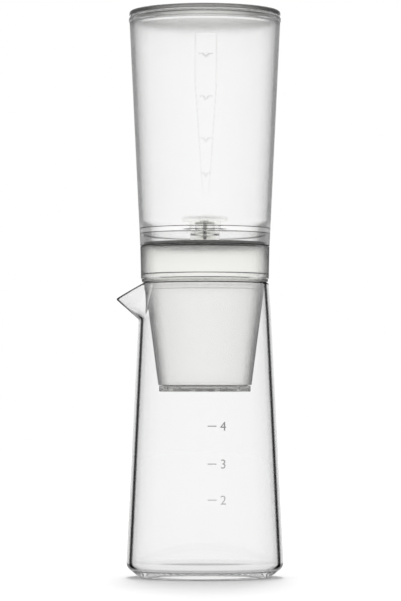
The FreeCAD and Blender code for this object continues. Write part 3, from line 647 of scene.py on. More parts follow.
def frosted_polypropylene(sizes):
    """Polypropylene, moulded against a spark-eroded tool: milky, with a fine even grain of about
    0.8 mm here, coarser than the real 0.1 mm so that it shows. Its haze and tint change up the
    collar, from 172 mm up."""
    material, tree = new_material("polypropylene_frosted_moulded")
    place = add_node(tree, "TexCoord").outputs["Object"]
    settings = {"Scale": 1 / (0.8 * MM), "Detail": 3.0, "Roughness": 0.6}
    grain = add_node(tree, "TexNoise", settings, {"Vector": place})
    bump = add_node(tree, "Bump", {"Strength": 1.0, "Distance": 0.02 * MM}, {"Height": grain})
    # Painted shade where the frosted wall is seen aslant or turns tightly, through its coat.
    shade = edge_shade(tree, FROSTED_OUTER, FROSTED_INNER, 0.4)
    height = add_node(tree, "SeparateXYZ", {}, {0: place}).outputs["Z"]
    hazes = ((0.0, 0.18), (0.28, 0.1), (0.5, 0.1), (1.0, 0.32))
    tints = ((0.0, sizes.frosted), (1.0, sizes.collar))
    links = {"Normal": bump}
    for socket, top, stops in (("Roughness", 197 * MM, hazes), ("Base Color", 179 * MM, tints)):
        levels = {"From Min": 172 * MM, "From Max": top}
        upward = add_node(tree, "MapRange", levels, {"Value": height})
        links[socket] = add_node(tree, "ValToRGB", {}, {"Fac": upward}, stops)
    return finished(material, clear_wall(tree, sizes.frosted, sizes.frosted_edge, 1.49, shade, links))


# Milky silicone is drawn with a low IOR, so that its rings stay pale in the clear pieces round them.
MILKY = {"code": "#fafaf8", "clearness": 1.0, "ior": 1.08}


def cured_silicone(name, code, clearness, ior):
    """Silicone rubber, press-cured: matt and soft, with the tool's faint cloudiness over 3 mm.
    Clearness is the share of light that it lets through. Real silicone has an IOR of about 1.41."""
    material, tree = new_material(name)
    place = add_node(tree, "TexCoord").outputs["Object"]
    cloud = add_node(tree, "TexNoise", {"Scale": 1 / (3 * MM), "Detail": 4.0}, {"Vector": place})
    stops = [(0.3, darker(linear(code), 0.12)), (0.7, linear(code))]
    tint = add_node(tree, "ValToRGB", {}, {"Fac": cloud}, stops)
    settings = {"Roughness": 0.35, "IOR": ior, "Transmission Weight": clearness}
    return finished(material, add_node(tree, "BsdfPrincipled", settings, {"Base Color": tint}))


def satin_steel(name, face, grain_length, roughness):
    """Stainless steel, rolled: satin, with streaks of the given length along one way, 0.3 mm wide."""
    material, tree = new_material(name)
    place = add_node(tree, "TexCoord").outputs["Object"]
    scale = (1 / grain_length, 1 / (0.3 * MM), 1 / (0.3 * MM))
    stretch = add_node(tree, "Mapping", {"Scale": scale}, {"Vector": place})
    streaks = add_node(tree, "TexNoise", {"Scale": 1.0, "Detail": 3.0}, {"Vector": stretch})
    tint = add_node(tree, "ValToRGB", {}, {"Fac": streaks}, [(0.3, darker(face, 0.25)), (0.7, face)])
    limits = {"To Min": roughness * 0.8, "To Max": roughness * 1.2}
    rough = add_node(tree, "MapRange", limits, {"Value": streaks})
    links = {"Base Color": tint, "Roughness": rough}
    return finished(material, add_node(tree, "BsdfPrincipled", {"Metallic": 1.0}, links))


def natural_acetal(sizes):
    """Acetal without pigment, moulded: milky and waxy, with a slight flow mark over 2.5 mm. It is
    clearer here than the real one, whose IOR is about 1.48, so that it stays pale through the haze."""
    material, tree = new_material("acetal_natural_moulded")
    place = add_node(tree, "TexCoord").outputs["Object"]
    settings = {"Scale": 1 / (2.5 * MM), "Detail": 4.0, "Distortion": 0.6}
    flow = add_node(tree, "TexNoise", settings, {"Vector": place})
    stops = [(0.3, darker(sizes.acetal, 0.01)), (0.7, sizes.acetal)]
    tint = add_node(tree, "ValToRGB", {}, {"Fac": flow}, stops)
    settings = {"Roughness": 0.45, "IOR": 1.04, "Transmission Weight": 1.0}
    return finished(material, add_node(tree, "BsdfPrincipled", settings, {"Base Color": tint}))


# ---------------------------------------------------------------- carafe

# Half the thickness of the print, how far its place lies off the glass, and the height of a figure
# as a share of the font's size.
PRINT_DEPTH = 0.04 * MM
PRINT_CLEAR = 0.02 * MM
FIGURE_SHARE = 0.7


class GlassShape:
    """Outside of the glass, by angle and level: a round wall with the beak pulled out of it.

    The beak's half width and the half width of its ridge are in degrees, each at its foot and how
    much it grows. The flank power is how hollow the beak's flanks are.
    """

    bend = 6 * MM
    beak_half, beak_growth = 25, 8
    ridge_half, ridge_growth = 0.2, 0.6
    flank_power = 1.35
    halvings = 40

    def __init__(self, sizes):
        low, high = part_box("glass_carafe")
        self.sizes = sizes
        self.rim = high.z
        self.neck = (sizes.rim_radius + sizes.neck_flare, high.z - sizes.neck_length)
        self.beak_low = high.z - sizes.beak_foot
        self.start = self.beak_low - self.bend
        self.tip = sizes.rim_radius + sizes.beak_tip
        self.lip_start = sizes.rim_radius - sizes.lip_inset
        self.lip_slope = sizes.lip_drop / (-low.x - self.lip_start)
        self.lip_levels = {}

    def wall_radius(self, level):
        """Radius of the round wall, whose slope changes softly at the neck's foot."""
        below = between((self.sizes.base_radius, 0.0), self.neck, level)
        above = between(self.neck, (self.sizes.rim_radius, self.rim), level)
        return below + (above - below) * ease((level - self.neck[1]) / self.bend + 0.5)

    def outside(self, angle, level):
        """Radius of the wall with the beak: a ridge with two flanks."""
        base = self.wall_radius(level)
        rise = max(level - self.beak_low, 0.0)
        half = math.radians(self.beak_half + self.beak_growth * rise / self.sizes.beak_foot)
        aside = math.remainder(angle - SPOUT_SIDE, FULL_TURN)
        swing = (self.tip - self.neck[0]) / self.sizes.beak_height
        reach = max(self.neck[0] + rise * swing - base, 0.0)
        ridge_round = math.radians(self.ridge_half + self.ridge_growth * reach / self.sizes.beak_tip)
        aside = math.hypot(aside, ridge_round) - ridge_round
        return base + reach * max(1 - aside / half, 0.0) ** self.flank_power

    def lip_level(self, angle):
        """Level where the wall ends: the rim, or the lip's slope down to the beak's tip."""
        if angle not in self.lip_levels:
            below, above = self.beak_low, self.rim
            for _ in range(self.halvings):
                level = (below + above) / 2
                out = max(-self.outside(angle, level) * math.cos(angle), 0.0)
                limit = self.rim - self.lip_slope * max(out - self.lip_start, 0.0)
                below, above = (level, above) if level < limit else (below, level)
            self.lip_levels[angle] = below - self.sizes.lip_bead
        return self.lip_levels[angle]

    def point(self, angle, share):
        """Point a share of the way from the beak's start to the lip."""
        level = self.start + (self.lip_level(angle) - self.start) * share
        return polar(self.outside(angle, level), angle, level)

    def skin(self, angle, share):
        """Outer point, inner point and upward direction of the glass near the rim."""
        small_turn, small_share = 0.002, 0.004
        here = self.point(angle, share)
        across = self.point(angle + small_turn, share) - self.point(angle - small_turn, share)
        upward = here - self.point(angle, share - small_share)
        normal = across.cross(upward).normalized()
        pulled = (here.xy.length - self.wall_radius(here.z)) / self.sizes.beak_tip
        wall = self.sizes.wall + (self.sizes.beak_wall - self.sizes.wall) * ease(pulled * 2)
        return here, here - normal * wall, upward.normalized()


def carafe_rings(shape, sizes, angles):
    """Rings of points over the outside, round the lip and down the inside of the glass."""
    wall, foot = sizes.wall, sizes.foot_radius
    foot_line = (sizes.base_radius, 0.0)
    start = (shape.wall_radius(shape.start), shape.start)
    push_up_inset, push_up_round = 8 * MM, 12 * MM
    ring_width, ring_round = 2.6 * MM, 1.2 * MM
    outer = [
        (0, sizes.push_up, 0),
        (foot - push_up_inset, sizes.push_up, push_up_round),
        (foot - ring_width, 0, ring_round),
        (foot, 0, ring_round),
        (between(foot_line, start, sizes.heel_height), sizes.heel_height, sizes.heel_round),
        (*start, 0),
    ]
    inner = [
        (start[0] - wall, shape.start, 0),
        (between(foot_line, start, sizes.floor) - wall, sizes.floor, sizes.inner_round),
        (0, sizes.floor, 0),
    ]
    rings = [polar_ring(radius, level, angles) for radius, level in even(rounded(outer, False, steps=10))]
    rows, lip_steps = 34, 8
    shares = [row / rows for row in range(1, rows + 1)]
    skins = {share: [shape.skin(angle, share) for angle in angles] for share in shares}
    rings += [[skin[0] for skin in skins[share]] for share in shares]
    for step in range(1, lip_steps):
        turn = math.pi * step / lip_steps
        bead = []
        for outside, inside, upward in skins[1.0]:
            middle = (outside + inside) / 2
            rise = upward * math.sin(turn) * sizes.lip_bead * (outside - inside).length / wall
            bead.append(middle + (outside - middle) * math.cos(turn) + rise)
        rings.append(bead)
    rings += [[skin[1] for skin in skins[share]] for share in reversed(shares)]
    rings += [polar_ring(radius, level, angles) for radius, level in even(rounded(inner, False, steps=12))]
    return rings


def mark_ridge(glass, shape, depth):
    """Painted shade on the ridge under the beak, whose thick glass turns light away: a dark mark down to a
    depth.
    """
    least_reach = 0.2 * MM
    marks = glass.data.attributes["tight_turn"].data
    for vert, mark in zip(glass.data.vertices, marks):
        ridge = shape.outside(SPOUT_SIDE, vert.co.z)
        below = ridge + vert.co.x
        if ridge > shape.wall_radius(vert.co.z) + least_reach and below < depth:
            mark.value = max(mark.value, RIDGE_SHADE * ease(2 - 2 * below / depth))


def print_on_glass(name, data, across, level, shape, material):
    """Printed piece of a flat mesh in X and Y, bent round the outside of the glass, Z outwards."""
    for vert in data.vertices:
        height = vert.co.y + level
        radius = shape.wall_radius(height) + PRINT_CLEAR
        angle = FRONT_SIDE + (vert.co.x + across) / radius
        vert.co = polar(radius + vert.co.z + PRINT_DEPTH, angle, height)
    settle(add_object(name, data), "carafe", material, slot="borosilicate_glass")


def printed_numeral(name, text, across, level, height, shape, material):
    """Numeral of the cup scale, centred on a level."""
    curve = bpy.data.curves.new(name, "FONT")
    curve.body = text
    curve.size = height / FIGURE_SHARE
    curve.align_x = "CENTER"
    curve.extrude = PRINT_DEPTH
    curve.resolution_u = 8
    data = curve_data(curve)
    levels = [vert.co.y for vert in data.vertices]
    middle = (min(levels) + max(levels)) / 2
    print_on_glass(name, data, across, level - middle, shape, material)


def printed_dash(name, across, level, size, shape, material):
    """Dash of the cup scale, divided so that it follows the glass."""
    mesh = bmesh.new()
    half_length, half_width = size[0] / 2, size[1] / 2
    columns = spread(-half_length, half_length, 0.5 * MM)
    for depth in (-PRINT_DEPTH, PRINT_DEPTH):
        lower = [mesh.verts.new((x, -half_width, depth)) for x in columns]
        upper = [mesh.verts.new((x, half_width, depth)) for x in columns]
        for index in range(len(columns) - 1):
            mesh.faces.new((lower[index], lower[index + 1], upper[index + 1], upper[index]))
    bmesh.ops.bridge_loops(mesh, edges=[edge for edge in mesh.edges if edge.is_boundary])
    bmesh.ops.recalc_face_normals(mesh, faces=mesh.faces)
    print_on_glass(name, mesh_data(mesh, name), across, level, shape, material)


class MAKER_OT_carafe(bpy.types.Operator):
    """Glass carafe with its pulled beak and the printed cup scale"""

    bl_idname = "maker.carafe"
    bl_label = "Carafe"

    def execute(self, context):
        sizes = context.scene.carafe_sizes
        shape = GlassShape(sizes)
        angles = turn_angles(SPOUT_SIDE, math.radians(48), columns=56, crowding=1.45)
        glass = skin_rings(carafe_rings(shape, sizes, angles), "carafe_glass")
        mark_ridge(glass, shape, sizes.ridge_line)
        settle(glass, "carafe", blown_borosilicate(sizes), "glass_carafe", slot="borosilicate_glass")
        enamel = fired_enamel(sizes)
        dash_size = (sizes.dash_length, 0.55 * MM)
        dash_across, numeral_across = 4.1 * MM, 10.7 * MM
        for cups, level in ((4, 89.3 * MM), (3, 67.4 * MM), (2, 46.6 * MM)):
            printed_dash(f"scale_dash_{cups}", dash_across, level, dash_size, shape, enamel)
            name, height = f"scale_numeral_{cups}", sizes.mark_height
            printed_numeral(name, str(cups), numeral_across, level, height, shape, enamel)
        return {"FINISHED"}


# ---------------------------------------------------------------- basket

# Wall of the gasket round the basket's skirt, which fills the step under the shoulder.
CARAFE_GASKET_WALL = 1.5 * MM


def basket_corners(sizes):
    """Outline of the basket: two spigots, cone, skirt, shoulder and collar."""
    basket, glass = place_of("coffee_basket"), place_of("carafe_gasket")
    seal, skirt_foot = place_of("plate_seal"), place_of("glass_carafe").high - sizes.skirt_length
    throat_level = glass.high + sizes.shoulder_thickness
    skirt_radius = glass.radius - CARAFE_GASKET_WALL
    shoulder_radius = basket.radius - sizes.collar_flare
    lip_radius = glass.radius + CRISP
    lip_level = glass.high - sizes.shoulder_lip
    step_level = lip_level + sizes.shoulder_line
    cone_foot = skirt_foot - sizes.cone_length
    cone_top_radius = skirt_radius - sizes.skirt_step
    spigot_radius = place_of("mesh_gasket").radius
    seal_depth, foot_round, throat_round, throat_step = 1.0 * MM, 0.6 * MM, 0.5 * MM, 0.2 * MM
    collar_foot, collar_top = (shoulder_radius, glass.high), (basket.radius, seal.low - seal_depth)
    return [
        (spigot_radius - sizes.foot_spigot_wall, basket.low, FINE),
        (spigot_radius, basket.low, FINE),
        (spigot_radius, cone_foot, foot_round),
        (sizes.cone_foot_radius, cone_foot, foot_round),
        (cone_top_radius, skirt_foot, CRISP),
        (skirt_radius, skirt_foot, CRISP),
        (skirt_radius, glass.high, FINE),
        (lip_radius, glass.high, CRISP),
        (lip_radius, lip_level, CRISP),
        (shoulder_radius, lip_level, FINE),
        (shoulder_radius, step_level, FINE),
        (shoulder_radius + sizes.shoulder_step, step_level + sizes.shoulder_step, FINE),
        (*collar_top, FINE),
        (seal.radius - sizes.seal_leg, collar_top[1], FINE),
        (seal.radius - sizes.seal_leg, basket.high, FINE),
        (between(collar_foot, collar_top, basket.high) - sizes.collar_wall, basket.high, FINE),
        (between(collar_foot, collar_top, throat_level) - sizes.collar_wall, throat_level, throat_round),
        (cone_top_radius - sizes.wall + throat_step, throat_level, FINE),
        (cone_top_radius - sizes.wall, skirt_foot, FINE),
        (sizes.cone_foot_radius - sizes.wall, cone_foot, FINE),
    ]


class MAKER_OT_basket(bpy.types.Operator):
    """Frosted coffee basket"""

    bl_idname = "maker.basket"
    bl_label = "Basket"

    def execute(self, context):
        sizes = context.scene.basket_sizes
        shoulder = place_of("carafe_gasket").high
        lip = (shoulder - sizes.shoulder_lip - CRISP, shoulder + CRISP)
        basket = turned("basket_cone", basket_corners(sizes), calm=lip)
        slot = "frosted_polypropylene"
        settle(basket, "basket", frosted_polypropylene(sizes), "coffee_basket", slot=slot)
        return {"FINISHED"}


def cutter(name, ends):
    """Closed tool between two like rings of points."""
    mesh = bmesh.new()
    ends = [[mesh.verts.new(point) for point in points] for points in ends]
    mesh.faces.new(list(reversed(ends[0])))
    mesh.faces.new(ends[1])
    wrap(mesh, *ends)
    bmesh.ops.recalc_face_normals(mesh, faces=mesh.faces)
    return finish_mesh(mesh, name)


def drain_slot(name, near, far, half, levels, angle):
    """Wedge-shaped cutter for one drain slot."""
    across, along = math.sin(angle), math.cos(angle)
    outline = ((near, -half / 2), (far, -half), (far, half), (near, half / 2))
    flat = [(x * along - y * across, x * across + y * along) for x, y in outline]
    return cutter(name, [[(*point, level) for point in flat] for level in levels])


def drain_port(name, radius, middle, level, angle):
    """Round cutter for one side drain hole."""
    half_length, sides = 3 * MM, 20
    direction = polar(1.0, angle, 0.0)
    side = Vector((0, 0, 1)).cross(direction)
    turns = [FULL_TURN * step / sides for step in range(sides)]
    ends = []
    for out in (middle - half_length, middle + half_length):
        points = []
        for turn in turns:
            offset = side * math.cos(turn) * radius + Vector((0, 0, math.sin(turn) * radius))
            points.append(direction * out + offset + Vector((0, 0, level)))
        ends.append(points)
    return cutter(name, ends)


class MAKER_OT_bottom_cap(bpy.types.Operator):
    """Slotted cap at the foot of the basket"""

    bl_idname = "maker.bottom_cap"
    bl_label = "Bottom cap"

    def execute(self, context):
        sizes = context.scene.basket_sizes
        place, floor_level = place_of("basket_bottom_cap"), place_of("mesh_rim").low
        inner = place.radius - sizes.cap_wall
        edge_level = place.high - sizes.cap_drop
        heel_round = 0.5 * MM
        corners = [
            (0, place.low, 0),
            (sizes.cone_foot_radius - sizes.cap_draft, place.low, heel_round),
            (place.radius, edge_level, FINE),
            (inner, edge_level, FINE),
            (inner, floor_level, FINE),
            (0, floor_level, 0),
        ]
        cap = turned("basket_cap", corners)
        slots, slot_start, slot_end, through = 10, 6 * MM, 22 * MM, 1 * MM
        ports, port_lead = 18, 0.36
        levels = (place.low - through, floor_level + through)
        half = sizes.slot_width / 2
        cutters = []
        for index in range(slots):
            angle = FULL_TURN * index / slots
            cutters.append(drain_slot(f"slot_{index}", slot_start, slot_end, half, levels, angle))
        for index in range(ports):
            angle = FRONT_SIDE + FULL_TURN * (index + port_lead) / ports
            level = floor_level + sizes.port_radius / 2
            cutters.append(drain_port(f"port_{index}", sizes.port_radius, place.radius, level, angle))
        cut(cap, cutters)
        settle(cap, "basket", clear_polypropylene(sizes), "basket_bottom_cap", slot="clear_polypropylene")
        return {"FINISHED"}


def wire(mesh, along_x, offset, phase, reach, level, sizes):
    """One woven wire: a thin tube that rises and falls over the wires that it crosses."""
    half = math.sqrt(max(reach * reach - offset * offset, 0.0))
    if half < sizes.wire_pitch:
        return
    sides = 6
    previous = None
    for place in spread(-half, half, sizes.wire_pitch / 4):
        wave = math.cos(math.pi * place / sizes.wire_pitch + phase) * sizes.wire_radius
        here = []
        for corner in range(sides):
            turn = FULL_TURN * corner / sides
            side = offset + math.cos(turn) * sizes.wire_radius
            up = level + wave + math.sin(turn) * sizes.wire_radius
            here.append(mesh.verts.new((place, side, up) if along_x else (side, place, up)))
        if previous is None:
            mesh.faces.new(list(reversed(here)))
        else:
            wrap(mesh, previous, here)
        previous = here
    mesh.faces.new(previous)


class MAKER_OT_filter(bpy.types.Operator):
    """Woven filter disc and its steel rim"""

    bl_idname = "maker.filter"
    bl_label = "Filter"

    def execute(self, context):
        sizes = context.scene.basket_sizes
        rim = place_of("mesh_rim")
        level = (rim.low + rim.high) / 2
        reach = place_of("filter_mesh").radius
        mesh = bmesh.new()
        count = int(reach / sizes.wire_pitch)
        for index in range(-count, count + 1):
            phase = math.pi * (index % 2)
            wire(mesh, True, index * sizes.wire_pitch, phase, reach, level, sizes)
            wire(mesh, False, index * sizes.wire_pitch, phase + math.pi, reach, level, sizes)
        bmesh.ops.recalc_face_normals(mesh, faces=mesh.faces)
        woven = finish_mesh(mesh, "filter_weave")
        face = linear("#b9b9b7")
        steel = satin_steel("stainless_steel_drawn_wire", face, grain_length=4 * MM, roughness=0.3)
        settle(woven, "basket", steel, "filter_mesh", slot="woven_steel")
        rolled = ring("filter_rim", "mesh_rim", wall=1.2 * MM, edge=0.2 * MM)
        face = linear("#bcbcba")
        steel = satin_steel("stainless_steel_pressed", face, grain_length=8 * MM, roughness=0.28)
        settle(rolled, "basket", steel, "mesh_rim", slot="pressed_steel")
        return {"FINISHED"}


def plate_outline(sizes, radius):
    """Flat outline of the shower plate: its edge and rings of holes, with six more in each ring."""
    curve = bpy.data.curves.new("plate_outline", "CURVE")
    curve.dimensions = "2D"
    curve.fill_mode = "BOTH"
    edge_sides, hole_sides, more_holes = 144, 20, 6
    circles = [(0.0, 0.0, radius, edge_sides), (0.0, 0.0, sizes.hole_radius, hole_sides)]
    step = (radius - sizes.hole_margin) / sizes.hole_rings
    for number in range(1, sizes.hole_rings + 1):
        for index in range(more_holes * number):
            angle = FULL_TURN * index / (more_holes * number)
            out = step * number
            circles.append((out * math.cos(angle), out * math.sin(angle), sizes.hole_radius, hole_sides))
    for x, y, circle_radius, count in circles:
        spline = curve.splines.new("POLY")
        spline.points.add(count - 1)
        spline.use_cyclic_u = True
        for index, point in enumerate(spline.points):
            turn = FULL_TURN * index / count
            point.co = (x + math.cos(turn) * circle_radius, y + math.sin(turn) * circle_radius, 0, 1)
    return curve


class MAKER_OT_shower_plate(bpy.types.Operator):
    """Perforated steel plate that spreads the drips"""

    bl_idname = "maker.shower_plate"
    bl_label = "Shower plate"

    def execute(self, context):
        sizes = context.scene.basket_sizes
        place = place_of("shower_plate")
        edge, rim_wall = SNUG, 0.6 * MM
        curve = plate_outline(sizes, place.radius - edge)
        curve.extrude = (place.high - place.low) / 2 - edge
        curve.bevel_depth = edge
        curve.bevel_resolution = 1
        data = curve_data(curve)
        for vert in data.vertices:
            vert.co.z += (place.high + place.low) / 2
        data.set_sharp_from_angle(angle=math.radians(30))
        plate = add_object("perforated_plate", data)
        name, grain = "stainless_steel_perforated", 10 * MM
        steel = satin_steel(name, sizes.steel, grain_length=grain, roughness=0.5)
        settle(plate, "plate", steel, "shower_plate", slot="perforated_steel")
        outer, foot = sizes.plate_rim_radius, place.low - sizes.plate_rim
        rim = turned("plate_rim", band(outer - rim_wall, outer, foot, place.low, edge * 2, edge))
        # The rim gets the nearly black rim steel, which is painted shade round the plate's edge.
        name = "stainless_steel_painted_shade"
        steel = satin_steel(name, sizes.rim_steel, grain_length=grain, roughness=0.95)
        settle(rim, "plate", steel, slot="perforated_steel")
        return {"FINISHED"}


class MAKER_OT_gaskets(bpy.types.Operator):
    """Silicone rings of the carafe, filter, plate and lid"""

    bl_idname = "maker.gaskets"
    bl_label = "Gaskets"

    def execute(self, context):
        milky = cured_silicone("silicone_rubber_clear", **MILKY)
        dark = cured_silicone("silicone_rubber_grey", "#2b2b28", clearness=0.0, ior=1.41)
        rings = (
            ("carafe_gasket", "basket", CARAFE_GASKET_WALL, 0.3 * MM),
            ("mesh_gasket", "basket", 1.2 * MM, 0.25 * MM),
            ("lid_gasket", "lid", 1.0 * MM, 0.3 * MM),
        )
        for node, body, wall, edge in rings:
            settle(ring(f"{node}_ring", node, wall, edge), body, milky, node, slot="silicone_clear")
        seal, leg_wall = place_of("plate_seal"), context.scene.basket_sizes.seal_leg
        edge, wall, leg_room, leg_depth = 0.15 * MM, 1.7 * MM, 0.03 * MM, 0.95 * MM
        inner, leg, leg_foot = seal.radius - wall, seal.radius - leg_wall + leg_room, seal.low - leg_depth
        corners = [
            (inner, seal.low, edge),
            (leg, seal.low, edge),
            (leg, leg_foot, edge),
            (seal.radius, leg_foot, edge),
            (seal.radius, seal.high, edge),
            (inner, seal.high, edge),
        ]
        settle(turned("plate_seal_ring", corners), "basket", dark, "plate_seal", slot="silicone_grey")
        return {"FINISHED"}


# ---------------------------------------------------------------- tank and lid

# Levels of the marks on the tank. Down the panel they fade and narrow to the two shares. The hole
# in the tank's floor is also the bore of the nut under it.
LEVEL_MARKS = (305.6 * MM, 280.8 * MM, 256.5 * MM, 236.3 * MM)
PANEL_FAINTEST = 0.35
MARK_NARROWEST = 0.55
TANK_HOLE = 5.98 * MM


def panel_edge(across, level, sizes, top, foot):
    """How far a point lies inside the level panel's outline, in metres."""
    share = min(max((level - foot) / (top - foot), 0.0), 1.0)
    widening = min(share / sizes.panel_taper, 1.0)
    half = (sizes.panel_foot_width + (sizes.panel_width - sizes.panel_foot_width) * widening) / 2
    corner = 1.2 * MM
    aside = abs(across) - half + corner
    over = max(level - top, foot - level) + corner
    outside = math.hypot(max(aside, 0.0), max(over, 0.0)) + min(max(aside, over), 0.0)
    return corner - outside


def chevron_line(across, below, half_width):
    """Distance of a point from a level mark: two short dashes with a V between them."""
    dip = 1.9 * MM
    flat = half_width * 0.55
    aside = abs(across)
    if aside > flat:
        return math.hypot(max(aside - half_width, 0.0), below)
    line = -dip * (1 - aside / flat)
    return abs(below - line) * flat / math.hypot(flat, dip)


def tank_relief(sizes, place, floor):
    """Height of the level panel and its marks over the tank's wall."""
    top, foot = place.high - sizes.panel_top, floor + sizes.panel_foot
    soft_edge, mark_half, mark_height = 0.8 * MM, 0.35 * MM, 0.8

    def relief(across, level):
        share = (level - foot) / (top - foot)
        fullness = PANEL_FAINTEST + (1 - PANEL_FAINTEST) * min(max(share, 0.0), 1.0)
        height = sizes.panel_relief * ease(panel_edge(across, level, sizes, top, foot) / soft_edge + 0.5)
        height *= fullness
        if height <= 0:
            return 0.0
        half_width = sizes.chevron_width / 2 * (MARK_NARROWEST + (1 - MARK_NARROWEST) * share)
        near = min(chevron_line(across, level - mark, half_width) for mark in LEVEL_MARKS)
        return height + sizes.panel_relief * mark_height * fullness * ease(1.3 - near / mark_half)

    return relief


def tank_rings(sizes):
    """Rings over the tank, with the level panel raised on its front."""
    place, basket = place_of("water_tank"), place_of("coffee_basket")
    floor, floor_under = place_of("housing_gasket").low, place_of("lock_nut").high
    skirt_room, hole_round, skirt_round = 0.3 * MM, 0.2 * MM, 0.3 * MM
    wall_round, rim_round, band_round = 0.6 * MM, 1.1 * MM, 0.4 * MM
    skirt_inner = place_of("plate_seal").radius + skirt_room
    foot = (basket.radius + sizes.foot_overhang, place.low)
    band_level = place.high - sizes.rim_height
    top = (place.radius, band_level)
    rim_inner = place.radius - sizes.rim_wall
    bead_low, bead_high = place.high - sizes.bead_low, place.high - sizes.bead_high
    bead_radius = place.radius + sizes.bead_relief
    corners = [
        (TANK_HOLE, floor_under, hole_round),
        (skirt_inner, floor_under, wall_round),
        (skirt_inner, place.low, skirt_round),
        (*foot, skirt_round),
        (between(foot, top, bead_low), bead_low, CRISP),
        (bead_radius, bead_low + sizes.bead_relief, CRISP),
        (bead_radius, bead_high, CRISP),
        (place.radius, bead_high + sizes.bead_relief, CRISP),
        (place.radius, place.high, rim_round),
        (rim_inner, place.high, rim_round),
        (rim_inner, band_level, band_round),
        (place.radius - sizes.wall, band_level - sizes.wall, wall_round),
        (between(foot, top, floor) - sizes.wall, floor, wall_round),
        (TANK_HOLE, floor, hole_round),
    ]
    relief = tank_relief(sizes, place, floor)
    angles = turn_angles(FRONT_SIDE, math.radians(11), columns=30)
    panel_centre, margin = 0.5 * MM, 2 * MM
    panel_top = place.high - sizes.panel_top + margin
    panel_foot = floor + sizes.panel_foot - margin
    long_run, near_wall, skin_depth = 60 * MM, 10 * MM, 0.2 * MM
    rows = []
    points = rounded(corners)
    for start, end in zip(points, points[1:] + points[:1]):
        rows.append(start)
        if (end - start).length > long_run and start.x > place.radius - near_wall and end.y > start.y:
            levels = spread(start.y, panel_foot, 8 * MM)[1:]
            levels += spread(panel_foot, panel_top, 0.3 * MM)[1:]
            levels += spread(panel_top, end.y, 4 * MM)[1:-1]
            rows += [Vector((between(start, end, level), level)) for level in levels]
    rings = []
    for row in rows:
        on_wall = panel_foot <= row.y <= panel_top and row.x > between(foot, top, row.y) - skin_depth
        if not on_wall:
            rings.append(polar_ring(row.x, row.y, angles))
            continue
        ring_points = []
        for angle in angles:
            across = math.remainder(angle - FRONT_SIDE, FULL_TURN) * row.x - panel_centre
            lift = relief(across, row.y) if abs(across) < sizes.panel_width else 0.0
            ring_points.append(polar(row.x + lift, angle, row.y))
        rings.append(ring_points)
    return rings


class MAKER_OT_tank(bpy.types.Operator):
    """Clear water tank with its level panel"""

    bl_idname = "maker.tank"
    bl_label = "Tank"

    def execute(self, context):
        sizes = context.scene.tank_sizes
        high, over_bead = place_of("water_tank").high, 0.15 * MM
        rim = (high - sizes.bead_high + sizes.bead_relief + over_bead, high + HOLD)
        tank = skin_rings(tank_rings(sizes), "tank_shell", calm=rim)
        settle(tank, "tank", tank_copolyester(sizes), "water_tank", slot="clear_tank_resin")
        return {"FINISHED"}


class MAKER_OT_lid(bpy.types.Operator):
    """Smoked lid"""

    bl_idname = "maker.lid"
    bl_label = "Lid"

    def execute(self, context):
        sizes = context.scene.tank_sizes
        lid, gasket = place_of("lid"), place_of("lid_gasket")
        gasket_depth, groove_depth = 1.5 * MM, 0.92 * MM
        skirt_round, skirt_edge, cover_edge, dish_edge, dish_foot = (
            0.5 * MM, 0.2 * MM, 0.3 * MM, 0.8 * MM, 1.2 * MM
        )
        plate_level = gasket.high + gasket_depth
        outer = place_of("water_tank").radius - sizes.rim_wall - sizes.side_gap
        inner, groove = outer - sizes.lid_skirt_wall, outer - groove_depth
        dish, dish_level = lid.radius - sizes.lid_dish_inset, lid.high - sizes.lid_dish
        corners = [
            (0, plate_level, 0),
            (inner, plate_level, skirt_round),
            (inner, lid.low, skirt_edge),
            (outer, lid.low, skirt_edge),
            (outer, gasket.low, CRISP),
            (groove, gasket.low, CRISP),
            (groove, gasket.high, CRISP),
            (outer, gasket.high, CRISP),
            (outer, plate_level, CRISP),
            (lid.radius, plate_level, cover_edge),
            (lid.radius, lid.high, sizes.lid_edge_round),
            (dish, lid.high, dish_edge),
            (dish - sizes.lid_dish * 2, dish_level, dish_foot),
            (0, dish_level, 0),
        ]
        settle(turned("lid_cover", corners), "lid", smoked_copolyester(sizes), "lid", slot="smoked_resin")
        return {"FINISHED"}


# ---------------------------------------------------------------- drip regulator

# Depth of the cone in the drip tip, in which the needle's cone sits.
TIP_SEAT = 1.4 * MM


def ribbed(outer, low, high, count, depth):
    """Radius function that cuts round grooves into one band of a turned piece."""
    skin_depth, rib_width = 0.3 * MM, 1.6

    def radius_at(radius, level, angle):
        if radius < outer - skin_depth or not low <= level <= high:
            return radius
        wave = abs(math.cos(count * angle / 2))
        return radius - depth * (1 - ease(wave * rib_width))

    return radius_at


class MAKER_OT_regulator(bpy.types.Operator):
    """Drip regulator: housing, nut, tip, needle, rings and knob"""

    bl_idname = "maker.regulator"
    bl_label = "Regulator"

    def execute(self, context):
        sizes = context.scene.valve_sizes
        acetal = natural_acetal(sizes)
        build_knob(sizes, acetal)
        build_housing(acetal)
        build_nut(acetal)
        build_needle()
        build_small_rings()
        return {"FINISHED"}


